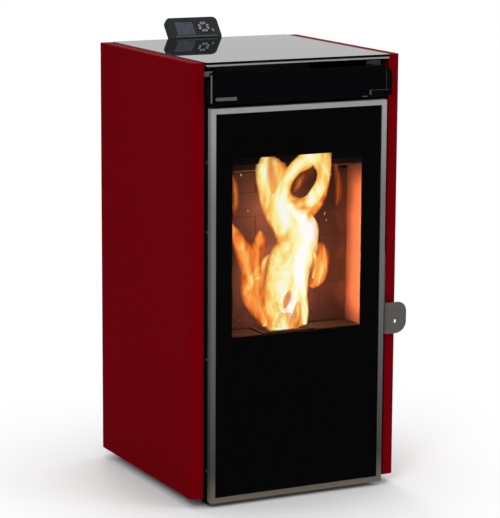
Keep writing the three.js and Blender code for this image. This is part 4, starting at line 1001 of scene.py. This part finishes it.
fire, given, result = new_group(
    "fire", {"Heat": 0.5, "Wisp size": 22.0, "Body": 1.6},
    {"Glow": "NodeSocketColor", "Cover": "NodeSocketFloat"})
flame_map = add(fire, "ShaderNodeUVMap", uv_map="flame")
unrolled = add(fire, "ShaderNodeSeparateXYZ", {0: flame_map})
off_middle = calc(fire, "ABSOLUTE", calc(fire, "MULTIPLY_ADD", (unrolled, "X"), 2.0, -1.0))
inward = calc(fire, "SUBTRACT", 1.0, off_middle)
tall = add(fire, "ShaderNodeMapping", {"Vector": own_point(fire), "Scale": (1.0, 1.0, 0.42)})
wisps = add(fire, "ShaderNodeTexNoise", {"Vector": tall, "Scale": (given, "Wisp size"), "Detail": 3.0,
                                         "Roughness": 0.55, "Distortion": 1.4})
wisp_heat = calc(fire, "MULTIPLY_ADD", wisps, 1.3, -0.65)
edge_heat = calc(fire, "MULTIPLY", calc(fire, "POWER", inward, 0.5), 0.5)
hot = calc(fire, "ADD", calc(fire, "ADD", wisp_heat, edge_heat), (given, "Heat"))
glow = colour_ramp(fire, hot, (0.0, (0.14, 0.014, 0.005)), (0.22, (0.55, 0.09, 0.012)),
                   (0.42, (1.0, 0.26, 0.045)), (0.58, (1.0, 0.50, 0.10)), (0.72, (1.0, 0.83, 0.28)),
                   (0.86, (1.0, 1.0, 0.58)), (1.0, (1.0, 1.0, 1.0)))
torn = calc(fire, "MULTIPLY_ADD", wisps, 1.5, -0.75)
solid = calc(fire, "MULTIPLY_ADD", inward, (given, "Body"), torn)
tip, root = (rescale(fire, (unrolled, "Y"), *ends) for ends in ((1.0, 0.72), (0.0, 0.03)))
kept = calc(fire, "MULTIPLY", solid, calc(fire, "MULTIPLY", tip, root))
cover = add(fire, "ShaderNodeClamp", {"Value": kept})
feed(fire, result, {"Glow": glow, "Cover": cover})


def burning_gas(name, heat, wisp_size, body, strength):
    material, tree, shader = new_shader(name, (0, 0, 0), 1.0, Specular_IOR_Level=0.0,
                                        Emission_Strength=strength)
    burning = add(tree, "ShaderNodeGroup", {"Heat": heat, "Wisp size": wisp_size, "Body": body},
                  node_tree=fire)
    feed(tree, shader, {"Emission Color": (burning, "Glow"), "Alpha": (burning, "Cover")})
    return material


white_fire = burning_gas("white_fire", 0.50, 16.0, 1.5, 1.1)
cream_fire = burning_gas("cream_fire", 0.35, 18.0, 5.0, 1.05)
yellow_fire = burning_gas("yellow_fire", 0.20, 20.0, 1.4, 1.0)
shade_fire = burning_gas("shade_fire", 0.02, 24.0, 1.1, 1.0)
orange_fire = burning_gas("orange_fire", 0.06, 24.0, 2.3, 1.05)
faint_fire = burning_gas("faint_fire", -0.22, 26.0, 0.5, 0.7)

# The flames waver by RUFFLE. They are drawn as the photographer sees them at FLAME_PLANE, and what
# lies in front of or behind that plane moves along the line of sight. The draught bends them
# forward over a rise in height.
RUFFLE, FLAME_PLANE, SIGHT_X, SIGHT_Z = 0.10, 50, 0.5, 0.2
DRAUGHT, DRAUGHT_FROM, DRAUGHT_RISE = 24, 380, 270


def smooth_path(points, steps):
    """A flowing curve through the points, whatever their number of values."""
    ends = [points[0]] + list(points) + [points[-1]]
    path = []
    for i in range(1, len(ends) - 2):
        for step in range(steps):
            t = step / steps
            path.append([0.5 * (2 * b + (c - a) * t + (2 * a - 5 * b + 4 * c - d) * t * t
                                + (3 * b - a - 3 * c + d) * t ** 3)
                         for a, b, c, d in zip(*ends[i - 1:i + 3])])
    path.append(list(points[-1]))
    return path


def flame_tongue(name, finish, depth, thickness, spine):
    """A closed tongue with a lens-shaped section; spine is of (x, z, half width), base first."""
    path = smooth_path(spine, 6)
    around, rings = 16, len(path)
    vertices, marks = [], []
    for index, (x, z, half) in enumerate(path):
        side_x, side_z = sideways(path[max(index - 1, 0)], path[min(index + 1, rings - 1)])
        share = index / (rings - 1)
        rounding = min(1.0, share * 8 + 0.8, math.sin(math.pi * min(1 - share, 0.5)) * 3 + 0.04)
        lean = DRAUGHT * max(0.0, min(1.0, (z - DRAUGHT_FROM) / DRAUGHT_RISE))
        for angle in round_angles(around):
            waver = 1 + RUFFLE * noise.noise(Vector((x * 0.03 + math.cos(angle), z * 0.035, depth * 0.1)))
            out = half * rounding * waver * math.cos(angle)
            y = depth - lean + min(thickness, half * 0.8) * rounding * math.sin(angle)
            past = y - FLAME_PLANE
            vertices.append(place(x + out * side_x + past * SIGHT_X, y, z + out * side_z - past * SIGHT_Z))
            marks.append((0.5 + 0.5 * math.cos(angle), share))
    tongue = outward(capped(name, vertices, rings))
    unrolled_to = tongue.data.uv_layers.new(name="flame")
    for loop in tongue.data.loops:
        unrolled_to.data[loop.index].uv = marks[loop.vertex_index]
    tongue.visible_shadow = False
    tongue.visible_diffuse = False
    return finish_piece(tongue, finish, "cabinet", "fire_steel", smooth=60)


for name, finish, depth, thickness, spine in (
        ("body", cream_fire, 56, 12, [(3, 340, 46), (2, 372, 50), (1, 405, 51), (2, 440, 50), (8, 476, 50),
            (27, 508, 50), (27, 538, 53), (11, 564, 50), (-15, 595, 38), (-28, 626, 35), (-33, 660, 38),
            (-44, 692, 31), (-48, 726, 27)]),
        ("core", white_fire, 46, 9, [(44, 400, 8), (38, 430, 18), (34, 462, 26), (40, 500, 31),
            (46, 535, 30), (34, 566, 24), (8, 592, 12), (-10, 612, 4)]),
        ("core_foot", white_fire, 46, 5, [(46, 348, 7), (48, 376, 8), (42, 408, 12), (38, 440, 8)]),
        ("loop_haze", faint_fire, 60, 5, [(14, 622, 6), (28, 640, 13), (44, 664, 20), (58, 690, 16)]),
        ("shade_high", shade_fire, 44, 4, [(-30, 622, 4), (-30, 642, 13), (-36, 664, 14), (-36, 694, 12),
            (-34, 726, 10)]),
        ("loop_left", cream_fire, 50, 6, [(-10, 602, 16), (-6, 628, 16), (3, 652, 16), (22, 672, 16),
            (46, 690, 22), (58, 726, 26)]),
        ("loop_right", cream_fire, 48, 7, [(-4, 594, 10), (30, 596, 13), (55, 604, 15), (71, 620, 16),
            (82, 642, 15), (85, 665, 18), (78, 692, 26), (74, 726, 28)]),
        ("loop_tail", orange_fire, 56, 6, [(30, 578, 12), (50, 580, 16), (66, 594, 16), (82, 612, 12),
            (94, 640, 7), (100, 668, 4)]),
        ("bulge", orange_fire, 54, 8, [(58, 424, 8), (74, 444, 20), (80, 470, 25), (79, 494, 22),
            (66, 516, 12)]),
        ("bulge_core", yellow_fire, 48, 4, [(64, 440, 4), (68, 462, 9), (68, 484, 8), (62, 500, 3)]),
        ("left_sheet", orange_fire, 58, 9, [(-42, 350, 8), (-56, 384, 20), (-70, 415, 28), (-76, 445, 30),
            (-78, 475, 28), (-90, 506, 25), (-106, 532, 17), (-116, 552, 11), (-122, 572, 5)]),
        ("left_heart", yellow_fire, 52, 5, [(-46, 362, 5), (-58, 396, 10), (-64, 430, 14), (-60, 462, 15),
            (-48, 486, 10), (-36, 500, 4)]),
        ("left_petal", orange_fire, 52, 7, [(-62, 450, 12), (-66, 480, 19), (-65, 508, 19), (-60, 532, 14),
            (-58, 552, 5)]),
        ("left_wisp", faint_fire, 66, 5, [(-116, 584, 8), (-112, 616, 14), (-116, 646, 10), (-122, 668, 4)]),
        ("right_wisp", faint_fire, 66, 5, [(118, 590, 8), (120, 622, 13), (118, 652, 11), (112, 680, 4)]),
        ("foot_left", yellow_fire, 41, 4, [(-2, 343, 30), (1, 362, 24), (4, 384, 8)]),
        ("foot_middle", orange_fire, 40, 4, [(20, 343, 15), (25, 364, 12), (30, 400, 3)]),
        ("foot_dark", faint_fire, 37, 3, [(22, 343, 9), (24, 360, 7), (27, 380, 2)]),
        ("foot_right", white_fire, 42, 4, [(46, 346, 6), (44, 370, 7), (38, 400, 2)]),
        ("hollow", shade_fire, 40, 4, [(-2, 384, 4), (4, 402, 11), (11, 424, 4)]),
        ("hollow_rim", white_fire, 39, 2, [(-14, 392, 2), (-4, 378, 4), (12, 380, 5), (22, 396, 5),
            (26, 420, 4), (28, 444, 2)])):
    flame_tongue("fire_" + name, finish, depth, thickness, spine)

for name, spot, watts in (("fire_low", place(6, 40, 440), 1.3), ("fire_high", place(-20, 40, 590), 0.55)):
    add_lamp(name, "POINT", spot, (0, 0, 0), 0.05, watts, (1.0, 0.38, 0.19))
for level, watts in ((395, 0.30), (475, 0.30), (555, 0.24), (618, 0.12)):
    side_glow = add_lamp("fire_right_%d" % level, "AREA", place(84, 34, level), place(162, 32, level), 0.04,
                         watts, (1.0, 0.27, 0.085))
    side_glow.spread = math.radians(84)

spark_glow, tree, shader = new_shader("sparks", (0, 0, 0), 1.0, Specular_IOR_Level=0.0, Emission_Strength=1.0)
mottle(tree, shader, "Emission Color", 40.0, 1.0, (0.35, (0.9, 0.35, 0.16)), (0.65, (1.0, 0.80, 0.55)))
spark = lathe("spark", [(0, -2.2), (0.7, 0), (0, 2.2)], Vector(), (0, 0, 1), 6)
rows = []
for x, z in ((96, 572), (100, 558), (98, 434), (68, 378), (-98, 366), (-74, 338), (110, 652), (98, 612),
             (-96, 664), (-104, 674), (78, 586), (-80, 590)):
    drift = Vector((dice.uniform(-0.5, 0.5), dice.uniform(-0.3, 0.3), 1))
    size = dice.uniform(0.7, 1.2)
    rows.append((place(x, 62, z), drift, Vector((size, size, size * dice.uniform(0.8, 1.8))), 0.0))
sparks = set_points("fire_sparks", rows, spark, spark_glow)
bpy.data.objects.remove(spark)
finish_piece(sparks, spark_glow, "cabinet", "fire_steel")
